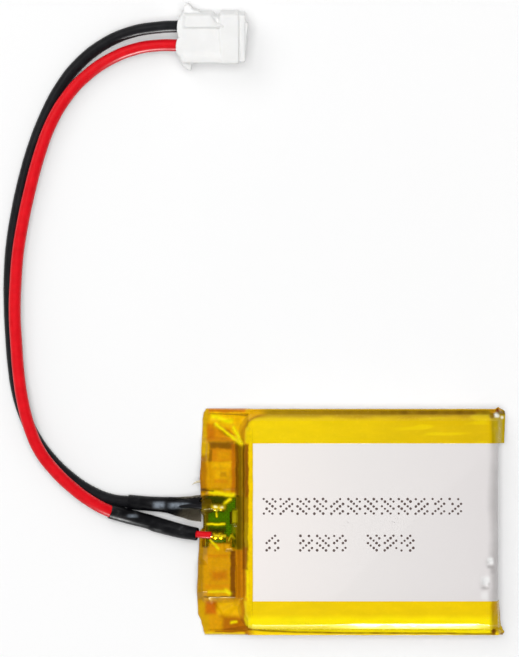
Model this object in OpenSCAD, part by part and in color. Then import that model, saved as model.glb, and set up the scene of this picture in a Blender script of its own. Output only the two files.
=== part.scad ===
// Single-cell lithium-polymer pouch pack: a wound cell in a laminate pouch, a protection board
// under tape at one end, and two sleeved leads that run to a two-way crimp plug.
// X runs along the pack from the board end, Y across it and Z up from the surface it lies on.
// The origin is under the middle of the pack. Sizes are in millimetres.

/* [Pack] */
// Length over the tape
pack_length = 39.2; // [38:0.1:41]
// Width over the tape
pack_width = 29; // [28:0.1:31]
// Height over the tape
pack_height = 4.6; // [4.5:0.1:5.2]

/* [Pouch] */
// Thickness of the aluminium laminate
foil = 0.15; // [0.1:0.01:0.16]
// Length of the drawn cup
cup_length = 32.65; // [32:0.05:32.65]
// Plan radius of the cup's corners
cup_corner = 2.7; // [2:0.1:3]
// Radius along the cup's top edges
cup_edge = 1.4; // [1:0.1:1.5]
// Width of each folded side seam, wall to tape
seam_room = 0.8; // [0.7:0.05:1]
// Height to which the side seams are folded up
seam_height = 3.3; // [2:0.1:3.5]

/* [Tape] */
// Thickness of the tape
tape = 0.1; // [0.06:0.01:0.12]
// How far the edge tapes reach over each broad face
tape_reach = 4.4; // [3:0.1:5]
// How far the edge tapes stand past the pouch at the plain end
tape_ear = 0.95; // [0.5:0.05:1]
// How far the head tape laps onto the cup's top
head_lap = 1.3; // [0.8:0.1:2]

/* [Cell winding] */
// Thickness of each electrode sheet
electrode = 0.13; // [0.08:0.01:0.14]
// Thickness of each separator sheet
separator = 0.04; // [0.02:0.01:0.05]
// Growth of the winding with each full turn
turn_pitch = 0.38; // [0.36:0.01:0.38]

/* [Protection board] */
// Length across the pack
board_length = 19.8; // [19.8:0.1:21]
// Width along the pack
board_width = 3.7; // [3.6:0.1:3.8]
// Thickness
board_height = 0.5; // [0.4:0.05:0.6]
// Width of the battery tabs
tab_width = 3.3; // [2.5:0.1:4]

/* [Leads] */
// Diameter of the two long leads over their insulation
lead_d = 1.55; // [1.3:0.05:1.6]
// Diameter of the two short leads on the board
short_d = 0.9; // [0.8:0.05:1]
// Diameter of the strands in a long lead
strand_d = 0.7; // [0.5:0.05:0.8]
// Diameter of the strands in a short lead
short_strand_d = 0.45; // [0.3:0.05:0.5]

/* [Plug] */
// Distance between the two contacts
plug_pitch = 2.4; // [2.3:0.1:2.5]
// Width across the contacts
plug_width = 6.2; // [6:0.1:6.8]
// Height
plug_height = 5.2; // [5:0.1:5.4]
// Length from the wire end to the front face
plug_length = 8.7; // [8.4:0.1:9]
// How far the plug leans over on the surface
plug_roll = 9; // [6:1:12]

/* [Hidden] */
$fn = 32;
tiny = 0.01;

// Heights and ends of the cell
cup_top = pack_height - tape;
back_top = tape + foil;
cup_x1 = pack_length / 2 - tape_ear;
cup_x0 = cup_x1 - cup_length;
cup_half = pack_width / 2 - tape - seam_room;
terrace_x0 = -pack_length / 2 + 0.7;
tab_gap = 0.3;
flange_z = back_top + tab_gap;
terrace_top = flange_z + foil;

// Winding
roll_x0 = cup_x0 + 1.7;
roll_x1 = cup_x1 - 1.65;
roll_start = 0.2;
half_turns = 7;
arc_steps = 8;
roll_z = 2.2;
roll_flat = cup_half - 2.55;
tail_side = 0.6;

// Board, from the pads that face up to the parts that face down
board_x0 = terrace_x0 + 0.4;
board_y0 = -9.7;
board_z = terrace_top + 1.15;
board_top = board_z + board_height;
plate = 0.15;
plate_top = board_top + plate;
tab = 0.1;
tab_z = back_top + tab_gap / 2;
tab_y_negative = 4.4;
tab_y_positive = -8.9;
pad = 0.05;
lead_y_black = 1.9;
lead_y_red = -1.7;
deck_z = 3.3;

// Cords: sides of the swept tubes and radii
sides = 8;
lead_r = lead_d / 2;
short_r = short_d / 2;
strand_r = strand_d / 2;
short_strand_r = short_strand_d / 2;
sleeve_wall = 0.12;
strip = 0.7;

// Plug
plug_x = -22.4;
plug_y = 62.3;
plug_z = 3.05;
cavity = 1.9;
plug_edge = 0.4;

// Middle lines of the leads, from the splice in the sleeve to the plug
black_route = [
    [-24.2, 2.2, 1.1], [-26.3, 2.3, 0.9], [-28.5, 2.5, 0.9], [-31.0, 2.8, 0.8],
    [-33.7, 3.9, 0.8], [-36.2, 5.6, 0.8], [-38.8, 8.1, 0.8], [-40.8, 10.9, 0.8],
    [-42.1, 13.7, 0.8], [-43.0, 16.7, 0.8], [-43.5, 20.0, 0.8], [-43.8, 23.6, 0.8],
    [-44.0, 27.8, 0.8], [-44.0, 31.7, 0.8], [-43.7, 35.8, 0.8], [-43.1, 39.6, 0.8],
    [-42.2, 43.8, 0.8], [-41.0, 48.0, 0.8], [-39.5, 51.9, 0.8], [-37.4, 55.9, 0.8],
    [-35.1, 58.8, 0.9], [-31.9, 61.3, 1.4], [-28.4, 62.8, 2.3], [-24.7, 63.4, 3.1],
    [-22.4, 63.5, 3.2], [-21.0, 63.5, 3.2]
];
red_route = [
    [-24.2, -0.6, 1.1], [-26.2, 0.0, 1.0], [-28.5, 0.6, 1.1], [-31.0, 1.3, 1.7],
    [-33.5, 2.6, 2.3], [-35.8, 4.3, 2.4], [-38.2, 6.6, 2.4], [-40.1, 9.1, 2.4],
    [-41.4, 12.1, 2.4], [-42.3, 15.6, 2.4], [-42.8, 19.0, 2.3], [-43.1, 22.8, 2.2],
    [-43.3, 26.6, 2.2], [-43.2, 30.5, 2.2], [-42.9, 34.4, 2.2], [-42.3, 38.2, 2.2],
    [-41.4, 42.4, 2.2], [-40.2, 46.9, 2.2], [-38.7, 51.0, 2.1], [-36.8, 54.3, 1.9],
    [-34.3, 57.1, 1.7], [-31.0, 59.4, 1.8], [-27.6, 60.7, 2.3], [-24.7, 61.1, 2.7],
    [-22.4, 61.1, 2.9], [-21.0, 61.1, 2.9]
];

// Middle lines of the short leads, from the board to the splice
black_short_route = [
    [-18.5, 2.0, 2.8], [-19.6, 2.1, 2.7], [-20.8, 2.2, 2.3], [-21.8, 2.2, 1.9], [-22.7, 2.2, 1.5]
];
red_short_route = [
    [-18.5, -1.7, 2.8], [-19.6, -1.6, 2.7], [-20.8, -1.4, 2.3], [-21.8, -1.2, 1.9],
    [-22.7, -1.0, 1.5]
];

// Heat-shrink sleeves: place, then half the width and half the height over the lead inside
black_sleeve_route = [
    [black_route[2], 0.93, 0.93], [black_route[1], 0.93, 0.93], [black_route[0], 0.95, 0.93],
    [[-22.7, 2.1, 1.5], 1.1, 0.85], [[-21.8, 2.0, 1.9], 1.3, 0.75], [[-20.8, 1.8, 2.3], 1.5, 0.66],
    [[-20.0, 1.7, 2.6], 1.7, 0.64]
];
red_sleeve_route = [
    [red_route[3], 0.93, 0.93], [red_route[2], 0.93, 0.93], [red_route[1], 0.93, 0.93],
    [red_route[0], 0.93, 0.9], [[-22.7, -1.0, 1.5], 0.9, 0.8], [[-21.8, -1.2, 1.9], 0.88, 0.75],
    [[-20.8, -1.4, 2.3], 0.86, 0.66], [[-20.0, -1.5, 2.6], 0.84, 0.64]
];

// ---- Shared shapes ----

function unit(v) = v / norm(v);
function backwards(list) = [for (i = [len(list) - 1:-1:0]) list[i]];

// Square of the bend at a corner of a flat line, so that a strip keeps its thickness round it
function left_of(a, b) = unit([a.y - b.y, b.x - a.x]);
function corner(p, i) =
    let (last = len(p) - 1,
         n1 = left_of(p[max(i - 1, 0)], p[max(i, 1)]),
         n2 = left_of(p[min(i, last - 1)], p[min(i + 1, last)]))
    (n1 + n2) / (1 + n1 * n2);

// Outline of a strip of even thickness laid along a flat line
function strip_outline(p, thick) = concat(
    [for (i = [0:len(p) - 1]) p[i] + thick / 2 * corner(p, i)],
    [for (i = [len(p) - 1:-1:0]) p[i] - thick / 2 * corner(p, i)]
);

// A shape drawn in X and Z, given a depth along Y
module along_y(y0, depth) {
    translate([0, y0 + depth, 0]) rotate([90, 0, 0]) linear_extrude(depth) children();
}

// A shape drawn in Y and Z, given a length along X
module along_x(x0, length) {
    translate([x0, 0, 0]) rotate([90, 0, 90]) linear_extrude(length) children();
}

// Direction of travel at a point of a route
function heading(p, i) = unit(p[min(i + 1, len(p) - 1)] - p[max(i - 1, 0)]);

// One ring of points round a route, with half its width and half its height
function ring(p, i, w, h) =
    let (t = heading(p, i), s = unit(cross([0, 0, 1], t)), u = cross(t, s))
    [for (k = [0:sides - 1]) let (a = 360 * (k + 0.5) / sides) p[i] + w * cos(a) * s + h * sin(a) * u];

function even_rings(p, r) = [for (i = [0:len(p) - 1]) ring(p, i, r, r)];

// A skin over rings of points. A looped skin runs back along its inside, so it makes a tube.
module skin(rings, looped) {
    last = len(rings) - 1;
    steps = looped ? last : last - 1;
    walls = [
        for (i = [0:steps], k = [0:sides - 1])
            let (j = (i + 1) % (last + 1), m = (k + 1) % sides)
            each [
                [i * sides + k, i * sides + m, j * sides + m],
                [i * sides + k, j * sides + m, j * sides + k]
            ]
    ];
    ends = [
        [for (k = [sides - 1:-1:0]) k],
        [for (k = [0:sides - 1]) last * sides + k]
    ];
    polyhedron([for (r = rings) each r], looped ? walls : concat(walls, ends));
}

module insulation(route, outer, inner) {
    skin(concat(even_rings(route, outer), backwards(even_rings(route, inner))), true);
}

// Bare strands that stand out at both ends of their insulation
module strands(route, r) {
    last = len(route) - 1;
    longer = concat(
        [route[0] - strip * heading(route, 0)], route, [route[last] + strip * heading(route, last)]
    );
    skin(even_rings(longer, r), false);
}

module heat_shrink(stations) {
    route = [for (s = stations) s[0]];
    function shell(inset) = [
        for (i = [0:len(route) - 1]) ring(route, i, stations[i][1] - inset, stations[i][2] - inset)
    ];
    skin(concat(shell(0), backwards(shell(sleeve_wall))), true);
}

// ---- Pouch ----

module cup_block(inset) {
    r = cup_corner - inset;
    e = cup_edge - inset;
    top = cup_top - inset;
    x_out = [cup_x0 + cup_corner, cup_x1 - cup_corner];
    y_out = cup_half - cup_corner;
    hull() for (x = x_out, y = [-y_out, y_out]) translate([x, y, back_top - tiny * sign(inset)]) {
        cylinder(r = r, h = top - e - back_top);
        rotate_extrude() {
            square([r - e, top - back_top]);
            translate([r - e, top - e - back_top]) intersection() {
                circle(e);
                square(e);
            }
        }
    }
}

module pouch_cup() {
    side_y = cup_half + 0.2 + foil / 2;
    color("gainsboro") {
        difference() {
            cup_block(0);
            cup_block(foil);
            translate([cup_x0 - 1, -cup_half, 0]) cube([1.5, 2 * cup_half, flange_z]);
        }
        translate([terrace_x0, -cup_half, flange_z])
            cube([cup_x0 - terrace_x0 + foil / 2, 2 * cup_half, foil]);
        for (m = [0, 1]) mirror([0, m, 0]) along_x(cup_x0 + cup_corner, cup_length - 2 * cup_corner)
            polygon(strip_outline([
                [cup_half - foil / 2, back_top + foil / 2], [side_y, back_top + foil / 2],
                [side_y, seam_height]
            ], foil));
    }
}

// The back bulges by the tape's thickness between the edge tapes, so it lies flush with them
module pouch_back() {
    edge_y = cup_half + 0.2 + foil * 3 / 2;
    bulge_y = pack_width / 2 - tape_reach - 0.1;
    ramp = 0.2;
    color("lightgray") {
        translate([terrace_x0, -cup_half, tape]) cube([cup_x0 - terrace_x0, 2 * cup_half, foil]);
        along_x(cup_x0, cup_length) polygon(strip_outline([
            [-cup_half, tape + foil / 2], [-bulge_y, tape + foil / 2], [ramp - bulge_y, foil / 2],
            [bulge_y - ramp, foil / 2], [bulge_y, tape + foil / 2], [cup_half, tape + foil / 2]
        ], foil));
        for (m = [0, 1]) mirror([0, m, 0]) along_x(cup_x0 + cup_corner, cup_length - 2 * cup_corner)
            polygon(strip_outline([
                [cup_half - foil, tape + foil / 2], [edge_y, tape + foil / 2], [edge_y, seam_height]
            ], foil));
    }
}

module tab_window(y0) {
    translate([terrace_x0 - 1, y0 - 1, back_top - 1]) cube([cup_length, tab_width + 2, tab_gap + 2]);
}

module top_seal() {
    color("whitesmoke") difference() {
        translate([terrace_x0, -cup_half, back_top]) cube([cup_x0 - terrace_x0, 2 * cup_half, tab_gap]);
        tab_window(tab_y_negative);
        tab_window(tab_y_positive);
    }
}

// ---- Winding ----

// A point on the flattened spiral; each half turn swings about one end of the flat run
function roll_point(half, a, offset) =
    let (r = roll_start + offset + turn_pitch * (a + 90) / 360)
    [(half % 2 == 0 ? roll_flat : -roll_flat) + r * cos(a), r * sin(a)];

function roll_line(offset) = concat(
    [for (half = [0:half_turns - 1], k = [0:arc_steps])
        roll_point(half, 180 * half - 90 + 180 * k / arc_steps, offset)],
    [[-tail_side * roll_flat, roll_start + offset + turn_pitch * half_turns / 2]]
);

module wound_sheet(offset, thick) {
    along_x(roll_x0, roll_x1 - roll_x0) translate([0, roll_z])
        polygon(concat(roll_line(offset + thick / 2), backwards(roll_line(offset - thick / 2))));
}

module anode_sheet() { color("dimgray") wound_sheet(0, electrode); }
module inner_separator() { color("white") wound_sheet(turn_pitch / 4, separator); }
module cathode_sheet() { color("black") wound_sheet(turn_pitch / 2, electrode); }
module outer_separator() { color("ivory") wound_sheet(turn_pitch * 3 / 4, separator); }

module winding_end_tape() {
    top = roll_z + roll_start + turn_pitch * (half_turns / 2 + 3 / 4) + separator / 2;
    color("seagreen") translate([roll_x0 + 4, -tail_side * roll_flat, top])
        cube([roll_x1 - roll_x0 - 8, roll_flat, tape / 2]);
}

// ---- Tabs and seals ----

// A tab leaves the winding, passes the seal and turns back over its plate on the board
module battery_tab(y0, roll_offset, end_x) {
    inner_z = roll_z - roll_start - turn_pitch * (half_turns - 1) / 2 - roll_offset;
    turn_r = (plate_top + tab / 2 - tab_z) / 2;
    turn_x = terrace_x0 + 0.05;
    reach = 0.5;
    turn = [
        for (a = [-90:-22.5:-270])
            [turn_x + reach * cos(a), tab_z + turn_r + turn_r * sin(a)]
    ];
    along_y(y0, tab_width) polygon(strip_outline(concat(
        [[roll_x0, inner_z], [roll_x0 - 0.4, inner_z], [roll_x0 - 1.2, tab_z]], turn,
        [[end_x, plate_top + tab / 2]]
    ), tab));
}

module positive_tab() { color("silver") battery_tab(tab_y_positive, turn_pitch / 2, board_x0 + 2.9); }
module negative_tab() { color("silver") battery_tab(tab_y_negative, 0, board_x0 + 3.4); }

module tab_seal(y0) {
    color("linen") difference() {
        translate([terrace_x0, y0 - 1, back_top]) cube([cup_x0 - terrace_x0 + 0.3, tab_width + 2, tab_gap]);
        translate([terrace_x0 - 1, y0, tab_z - tab / 2]) cube([cup_length, tab_width, tab]);
    }
}

module positive_tab_seal() { tab_seal(tab_y_positive); }
module negative_tab_seal() { tab_seal(tab_y_negative); }

// ---- Board ----

// The sheet lies on the terrace and stands up against the end of the cup
module insulation_sheet() {
    line_z = terrace_top + tape / 2;
    wall_x = cup_x0 - tape;
    color("darkkhaki") along_y(board_y0, board_length) polygon(strip_outline([
        [terrace_x0 + 0.1, line_z], [wall_x, line_z], [wall_x, deck_z - 0.2]
    ], tape));
}

module circuit_board() {
    color("darkgreen") translate([board_x0, board_y0, board_z])
        cube([board_width, board_length, board_height]);
}

module lead_pads() {
    color("gold") for (y = [lead_y_black, lead_y_red])
        translate([board_x0 + 0.1, y - 0.6, board_top]) cube([2, 1.2, pad]);
}

module weld_plate(y0, length) {
    color("silver") translate([board_x0, y0, board_top]) cube([board_width - 0.2, length, plate]);
}

module positive_weld_plate() { weld_plate(-9.6, 5.2); }
module negative_weld_plate() { weld_plate(4.2, 5.8); }

// A small chip under the board with its legs along both long sides
module leaded_chip(y0, length, body_width) {
    middle = board_x0 + board_width / 2;
    leg = 0.4;
    pitch = 0.95;
    span = 2.8;
    foot = 0.15;
    color("darkslategray") translate([middle - body_width / 2, y0, board_z - 1])
        cube([body_width, length, 0.9]);
    color("silver") for (k = [-1:1])
        translate([middle - span / 2, y0 + (length - leg) / 2 + k * pitch, board_z - foot])
            cube([span, leg, foot]);
}

module protection_chip() { leaded_chip(-5, 2.9, 1.6); }
module switch_chip() { leaded_chip(-0.6, 3, 1.8); }

// A chip part: its body between two metal ends
module chip_part(x, y, z, size, shade) {
    cap = 0.25;
    color(shade) translate([x, y + cap, z]) cube([size.x, size.y - 2 * cap, size.z]);
    color("silver") for (end = [y, y + size.y - cap]) translate([x, end, z])
        cube([size.x, cap, size.z]);
}

module sense_resistor() { chip_part(board_x0 + 2.8, -0.3, board_top, [0.8, 1.6, 0.45], "black"); }
module filter_capacitor() { chip_part(board_x0 + 2.3, -3.4, board_top, [0.8, 1.5, 0.6], "tan"); }
module bias_resistors() {
    for (y = [4.2, 6.6]) chip_part(board_x0 + 1.4, y, board_z - 0.45, [0.8, 1.6, 0.45], "black");
}

// Two beads of solder that have run together round the lead's strands
module solder(y) {
    color("silver") intersection() {
        for (x = [0.9, 1.6]) translate([board_x0 + x, y, board_top + pad + 0.15]) sphere(0.6);
        translate([board_x0, y - 1, board_top + pad]) cube([3, 2, 2]);
    }
}

module black_solder() { solder(lead_y_black); }
module red_solder() { solder(lead_y_red); }

// ---- Tape ----

// Section of an edge tape: over the top, round the side and under the bottom
module edge_section(top, top_r) {
    half = pack_width / 2;
    difference() {
        tape_outline(half, top, top_r, 0);
        tape_outline(half - tape, top - tape, top_r - tape, tape);
        translate([-half, -1]) square([pack_width - tape_reach, pack_height + 2]);
    }
}

module tape_outline(y, top, top_r, bottom) {
    square_top = top - top_r;
    translate([0, bottom]) square([y, square_top - bottom]);
    square([y - top_r, top]);
    translate([y - top_r, square_top]) circle(top_r);
}

module edge_tape() {
    step_wall = [tape, tape_reach - cup_corner / 2, pack_height - deck_z];
    along_x(cup_x0 - tape, pack_length / 2 - cup_x0 + tape) edge_section(pack_height, 1.5);
    along_x(-pack_length / 2, cup_x0 + pack_length / 2) edge_section(deck_z, 0.6);
    translate([cup_x0 - tape, pack_width / 2 - tape_reach, deck_z - tape]) cube(step_wall);
}

module upper_edge_tape() { color("gold") edge_tape(); }
module lower_edge_tape() { color("gold") mirror([0, 1, 0]) edge_tape(); }

// From the cup's top down over the board, round its edge and back under the terrace
module head_tape() {
    half = pack_width / 2 - tape_reach;
    out_x = -pack_length / 2 + tape / 2;
    slot_z = 2.2;
    color("orange") difference() {
        along_y(-half, 2 * half) polygon(strip_outline([
            [cup_x0 + head_lap, pack_height - tape / 2], [cup_x0 - tape * 3 / 2, pack_height - tape / 2],
            [cup_x0 - 0.5, deck_z + 0.3], [cup_x0 - 1.2, deck_z], [out_x + 0.5, deck_z],
            [out_x, deck_z - 0.4], [out_x, tape / 2], [cup_x0, tape / 2]
        ], tape));
        for (y = [lead_y_black, lead_y_red])
            translate([-pack_length / 2 - 1, y - 0.7, slot_z]) cube([1.6, 1.5, 1]);
    }
}

// ---- Leads ----

module black_lead() { color("black") insulation(black_route, lead_r, strand_r); }
module red_lead() { color("red") insulation(red_route, lead_r, strand_r); }
module black_strands() { color("peru") strands(black_route, strand_r); }
module red_strands() { color("peru") strands(red_route, strand_r); }

module black_short_lead() { color("black") insulation(black_short_route, short_r, short_strand_r); }
module red_short_lead() { color("red") insulation(red_short_route, short_r, short_strand_r); }
module black_short_strands() { color("peru") strands(black_short_route, short_strand_r); }
module red_short_strands() { color("peru") strands(red_short_route, short_strand_r); }

module black_sleeve() { color("dimgray") heat_shrink(black_sleeve_route); }
module red_sleeve() { color("dimgray") heat_shrink(red_sleeve_route); }

// A soldered joint between the end of a short lead and the start of a long one
module splice(from, to) {
    color("silver") translate((from + to) / 2) sphere(0.42);
}

module black_splice() { splice(black_short_route[len(black_short_route) - 1], black_route[0]); }
module red_splice() { splice(red_short_route[len(red_short_route) - 1], red_route[0]); }

// ---- Plug ----

// The plug's own frame: X from the wire end to the front, with the plug level and centred
module in_plug() { translate([plug_x, plug_y, plug_z]) rotate([plug_roll, 0, 0]) children(); }

// A round-edged bar along X
module soft_bar(x0, length, width, height, r) {
    along_x(x0, length) {
        square([width - 2 * r, height], center = true);
        square([width, height - 2 * r], center = true);
        for (y = [-1, 1], z = [-1, 1]) translate([y * (width / 2 - r), z * (height / 2 - r)]) circle(r);
    }
}

// A polarity rail on the broad face, with a sloped front end
module rail(y) {
    rail_height = 0.55;
    rail_width = 1.2;
    rail_end = 6;
    along_y(y - rail_width / 2, rail_width) polygon([
        [0.9, plug_height / 2 - 0.1], [rail_end, plug_height / 2 - 0.1],
        [rail_end - 1.2, plug_height / 2 + rail_height], [0.9, plug_height / 2 + rail_height]
    ]);
}

// A finger grip at the wire end, on the narrow side
module grip() {
    translate([0, 0, -0.9]) linear_extrude(1.8) polygon([
        [0.2, plug_width / 2 - 0.3], [0.9, plug_width / 2 + 0.6], [1.5, plug_width / 2 + 0.6],
        [2.2, plug_width / 2 - 0.3]
    ]);
}

module plug_housing() {
    lip = 0.35;
    front_wall = 0.6;
    contact_window = 1.1;
    color("white") in_plug() difference() {
        union() {
            soft_bar(0, plug_length, plug_width, plug_height, plug_edge);
            soft_bar(plug_length - tiny, lip, plug_width - 2.6, plug_height - 1.6, plug_edge);
            for (y = [-1, 1]) rail(y * (plug_width / 2 - 0.9));
            for (m = [0, 1]) mirror([0, m, 0]) grip();
        }
        for (y = [-1, 1]) {
            translate([-1, y * plug_pitch / 2 - cavity / 2, -cavity / 2])
                cube([plug_length - front_wall + 1, cavity, cavity]);
            translate([0, y * plug_pitch / 2 - contact_window / 2, -contact_window / 2])
                cube([plug_length + 1, contact_window, contact_window]);
        }
    }
}

// A crimp contact: a box for the pin, a barrel on the strands and a barrel on the insulation
module contact(y) {
    box_side = 1.6;
    pin_side = 0.9;
    floor_z = -cavity / 2 + 0.1;
    color("lightyellow") in_plug() translate([0, y, 0]) {
        difference() {
            translate([3.9, -box_side / 2, -box_side / 2]) cube([4, box_side, box_side]);
            translate([3.8, -pin_side / 2, -pin_side / 2]) cube([5, pin_side, pin_side]);
        }
        translate([0.3, -0.4, floor_z]) cube([3.8, 0.8, 0.12]);
        difference() {
            union() {
                along_x(0.3, 1) circle(cavity / 2 - 0.03);
                along_x(1.5, 0.8) circle(strand_r + 0.15);
                translate([1.5, -0.3, floor_z]) cube([0.8, 0.6, 0.5]);
            }
            along_x(0.2, 1.2) circle(lead_r + 0.01);
            along_x(1.4, 1) circle(strand_r);
        }
    }
}

module black_contact() { contact(plug_pitch / 2); }
module red_contact() { contact(-plug_pitch / 2); }

pouch_cup();
pouch_back();
top_seal();
anode_sheet();
cathode_sheet();
inner_separator();
outer_separator();
winding_end_tape();
positive_tab();
negative_tab();
positive_tab_seal();
negative_tab_seal();
insulation_sheet();
circuit_board();
lead_pads();
positive_weld_plate();
negative_weld_plate();
protection_chip();
switch_chip();
sense_resistor();
filter_capacitor();
bias_resistors();
black_solder();
red_solder();
upper_edge_tape();
lower_edge_tape();
head_tape();
black_short_lead();
black_short_strands();
red_short_lead();
red_short_strands();
black_splice();
red_splice();
black_sleeve();
red_sleeve();
black_lead();
black_strands();
red_lead();
red_strands();
plug_housing();
black_contact();
red_contact();
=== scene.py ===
import math
import random

import bpy
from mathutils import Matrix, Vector, noise


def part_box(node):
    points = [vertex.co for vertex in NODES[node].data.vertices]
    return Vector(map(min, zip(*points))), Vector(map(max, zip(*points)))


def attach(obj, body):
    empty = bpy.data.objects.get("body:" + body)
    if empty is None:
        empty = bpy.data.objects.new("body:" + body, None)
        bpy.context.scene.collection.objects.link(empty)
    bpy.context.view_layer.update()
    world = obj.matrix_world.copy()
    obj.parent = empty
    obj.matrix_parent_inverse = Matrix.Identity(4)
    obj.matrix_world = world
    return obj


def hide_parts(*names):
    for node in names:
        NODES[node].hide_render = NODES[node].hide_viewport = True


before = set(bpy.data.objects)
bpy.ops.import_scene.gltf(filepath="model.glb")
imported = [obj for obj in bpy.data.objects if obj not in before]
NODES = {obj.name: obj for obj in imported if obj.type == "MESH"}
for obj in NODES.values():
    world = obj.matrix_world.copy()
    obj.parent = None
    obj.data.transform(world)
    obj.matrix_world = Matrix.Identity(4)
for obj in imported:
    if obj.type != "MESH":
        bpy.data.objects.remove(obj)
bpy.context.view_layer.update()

MM = 0.001
dice = random.Random(4)  # only the ink dots are drawn by chance


def box_mm(node):
    """Lowest and highest corner of a CAD node, in millimetres."""
    low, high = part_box(node)
    return low / MM, high / MM


# ---- Driving sizes, read from the frame, in millimetres ----

TAPE_LOW, TAPE_HIGH = box_mm("upper_edge_tape")
PACK_X1 = TAPE_HIGH.x
PACK_HALF = TAPE_HIGH.y
PACK_TOP = TAPE_HIGH.z
TAPE_IN = TAPE_LOW.y
BACK_LOW, BACK_HIGH = box_mm("pouch_back")
CUP_X1 = BACK_HIGH.x
TERRACE_X0 = BACK_LOW.x
CUP_X0 = box_mm("insulation_sheet")[1].x + 0.05
BOARD_LOW, BOARD_HIGH = box_mm("circuit_board")
CUP_HALF = 13.65  # from the pack's middle to the cup's long side
CUP_TOP = PACK_TOP - 0.1
CUP_CORNER = 2.7  # radius seen from above
CUP_EDGE = 1.4  # radius along the top edges
FILM = 0.05
LEAD_D = 1.55
SHORT_D = 0.9

# ---- Routes of the leads, in millimetres, as in the CAD model ----

BLACK_ROUTE = [
    (-24.2, 2.2, 1.1), (-26.3, 2.3, 0.9), (-28.5, 2.5, 0.9), (-31.0, 2.8, 0.8),
    (-33.7, 3.9, 0.8), (-36.2, 5.6, 0.8), (-38.8, 8.1, 0.8), (-40.8, 10.9, 0.8),
    (-42.1, 13.7, 0.8), (-43.0, 16.7, 0.8), (-43.5, 20.0, 0.8), (-43.8, 23.6, 0.8),
    (-44.0, 27.8, 0.8), (-44.0, 31.7, 0.8), (-43.7, 35.8, 0.8), (-43.1, 39.6, 0.8),
    (-42.2, 43.8, 0.8), (-41.0, 48.0, 0.8), (-39.5, 51.9, 0.8), (-37.4, 55.9, 0.8),
    (-35.1, 58.8, 0.9), (-31.9, 61.3, 1.4), (-28.4, 62.8, 2.3), (-24.7, 63.4, 3.1),
    (-22.4, 63.5, 3.2), (-21.0, 63.5, 3.2),
]
RED_ROUTE = [
    (-24.2, -0.6, 1.1), (-26.2, 0.0, 1.0), (-28.5, 0.6, 1.1), (-31.0, 1.3, 1.7),
    (-33.5, 2.6, 2.3), (-35.8, 4.3, 2.4), (-38.2, 6.6, 2.4), (-40.1, 9.1, 2.4),
    (-41.4, 12.1, 2.4), (-42.3, 15.6, 2.4), (-42.8, 19.0, 2.3), (-43.1, 22.8, 2.2),
    (-43.3, 26.6, 2.2), (-43.2, 30.5, 2.2), (-42.9, 34.4, 2.2), (-42.3, 38.2, 2.2),
    (-41.4, 42.4, 2.2), (-40.2, 46.9, 2.2), (-38.7, 51.0, 2.1), (-36.8, 54.3, 1.9),
    (-34.3, 57.1, 1.7), (-31.0, 59.4, 1.8), (-27.6, 60.7, 2.3), (-24.7, 61.1, 2.7),
    (-22.4, 61.1, 2.9), (-21.0, 61.1, 2.9),
]
BLACK_SHORT = [
    (-18.1, 1.95, 2.85), (-19.6, 2.1, 2.7), (-20.8, 2.2, 2.3), (-21.8, 2.2, 1.9), (-22.7, 2.2, 1.5),
]
RED_SHORT = [
    (-18.1, -1.7, 2.85), (-19.6, -1.6, 2.7), (-20.8, -1.4, 2.3), (-21.8, -1.2, 1.9),
    (-22.7, -1.0, 1.5),
]


# ---- Small helpers ----

def smoothstep(low, high, value):
    t = min(max((value - low) / (high - low), 0.0), 1.0)
    return t * t * (3 - 2 * t)


def mix(a, b, t):
    return a + (b - a) * t


def soft_max(values, sharpness=9.0):
    """A maximum whose corners are rounded."""
    top = max(values)
    return top + math.log(sum(math.exp(sharpness * (v - top)) for v in values)) / sharpness


def along(points, value):
    """A smooth line through (place, height) points, read at a place."""
    if value <= points[0][0]:
        return points[0][1]
    for (x0, y0), (x1, y1) in zip(points, points[1:]):
        if value <= x1:
            return mix(y0, y1, smoothstep(x0, x1, value))
    return points[-1][1]


def wobble(x, y, size, seed=0.0):
    """Smooth noise between about -1 and 1, with features of that size in millimetres."""
    return noise.noise(Vector((x / size, y / size, seed)))


def spot_strength(x, y, spots):
    """How strongly the nearest of some soft oval spots covers a place."""
    return max(strength * math.exp(-((x - sx) / long) ** 4 - ((y - sy) / wide) ** 4)
               for sx, sy, long, wide, strength in spots)


def grid_faces(rows, columns, ring=False):
    """Quads over a grid of points; ring joins each row's end to its start."""
    last = columns if ring else columns - 1
    return [
        (r * columns + c, r * columns + (c + 1) % columns,
         (r + 1) * columns + (c + 1) % columns, (r + 1) * columns + c)
        for r in range(rows - 1) for c in range(last)
    ]


def capped_faces(rings, sides):
    """Quads round a tube and one face over each end."""
    first_end = tuple(range(sides - 1, -1, -1))
    last_end = tuple(range((rings - 1) * sides, rings * sides))
    return grid_faces(rings, sides, ring=True) + [first_end, last_end]


def mesh_piece(name, points, faces, material):
    """A smooth-shaded mesh from points in millimetres."""
    mesh = bpy.data.meshes.new(name)
    mesh.from_pydata([(x * MM, y * MM, z * MM) for x, y, z in points], [], faces)
    mesh.materials.append(material)
    mesh.shade_smooth()
    piece = bpy.data.objects.new(name, mesh)
    bpy.context.scene.collection.objects.link(piece)
    return piece


def thicken(piece, thickness, offset=-1.0):
    """Gives a sheet its thickness, inward unless offset is 0, which is both ways."""
    shell = piece.modifiers.new("thickness", "SOLIDIFY")
    shell.thickness = thickness * MM
    shell.offset = offset
    return piece


def paint_points(piece, shades):
    """Stores a colour and its cover at every point, for the material to use."""
    paint = piece.data.attributes.new("paint", "FLOAT_COLOR", "POINT")
    paint.data.foreach_set("color", [value for shade in shades for value in shade])


def store_values(piece, name, values):
    """Stores a number at every point, for the material to use."""
    piece.data.attributes.new(name, "FLOAT", "POINT").data.foreach_set("value", values)


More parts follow.
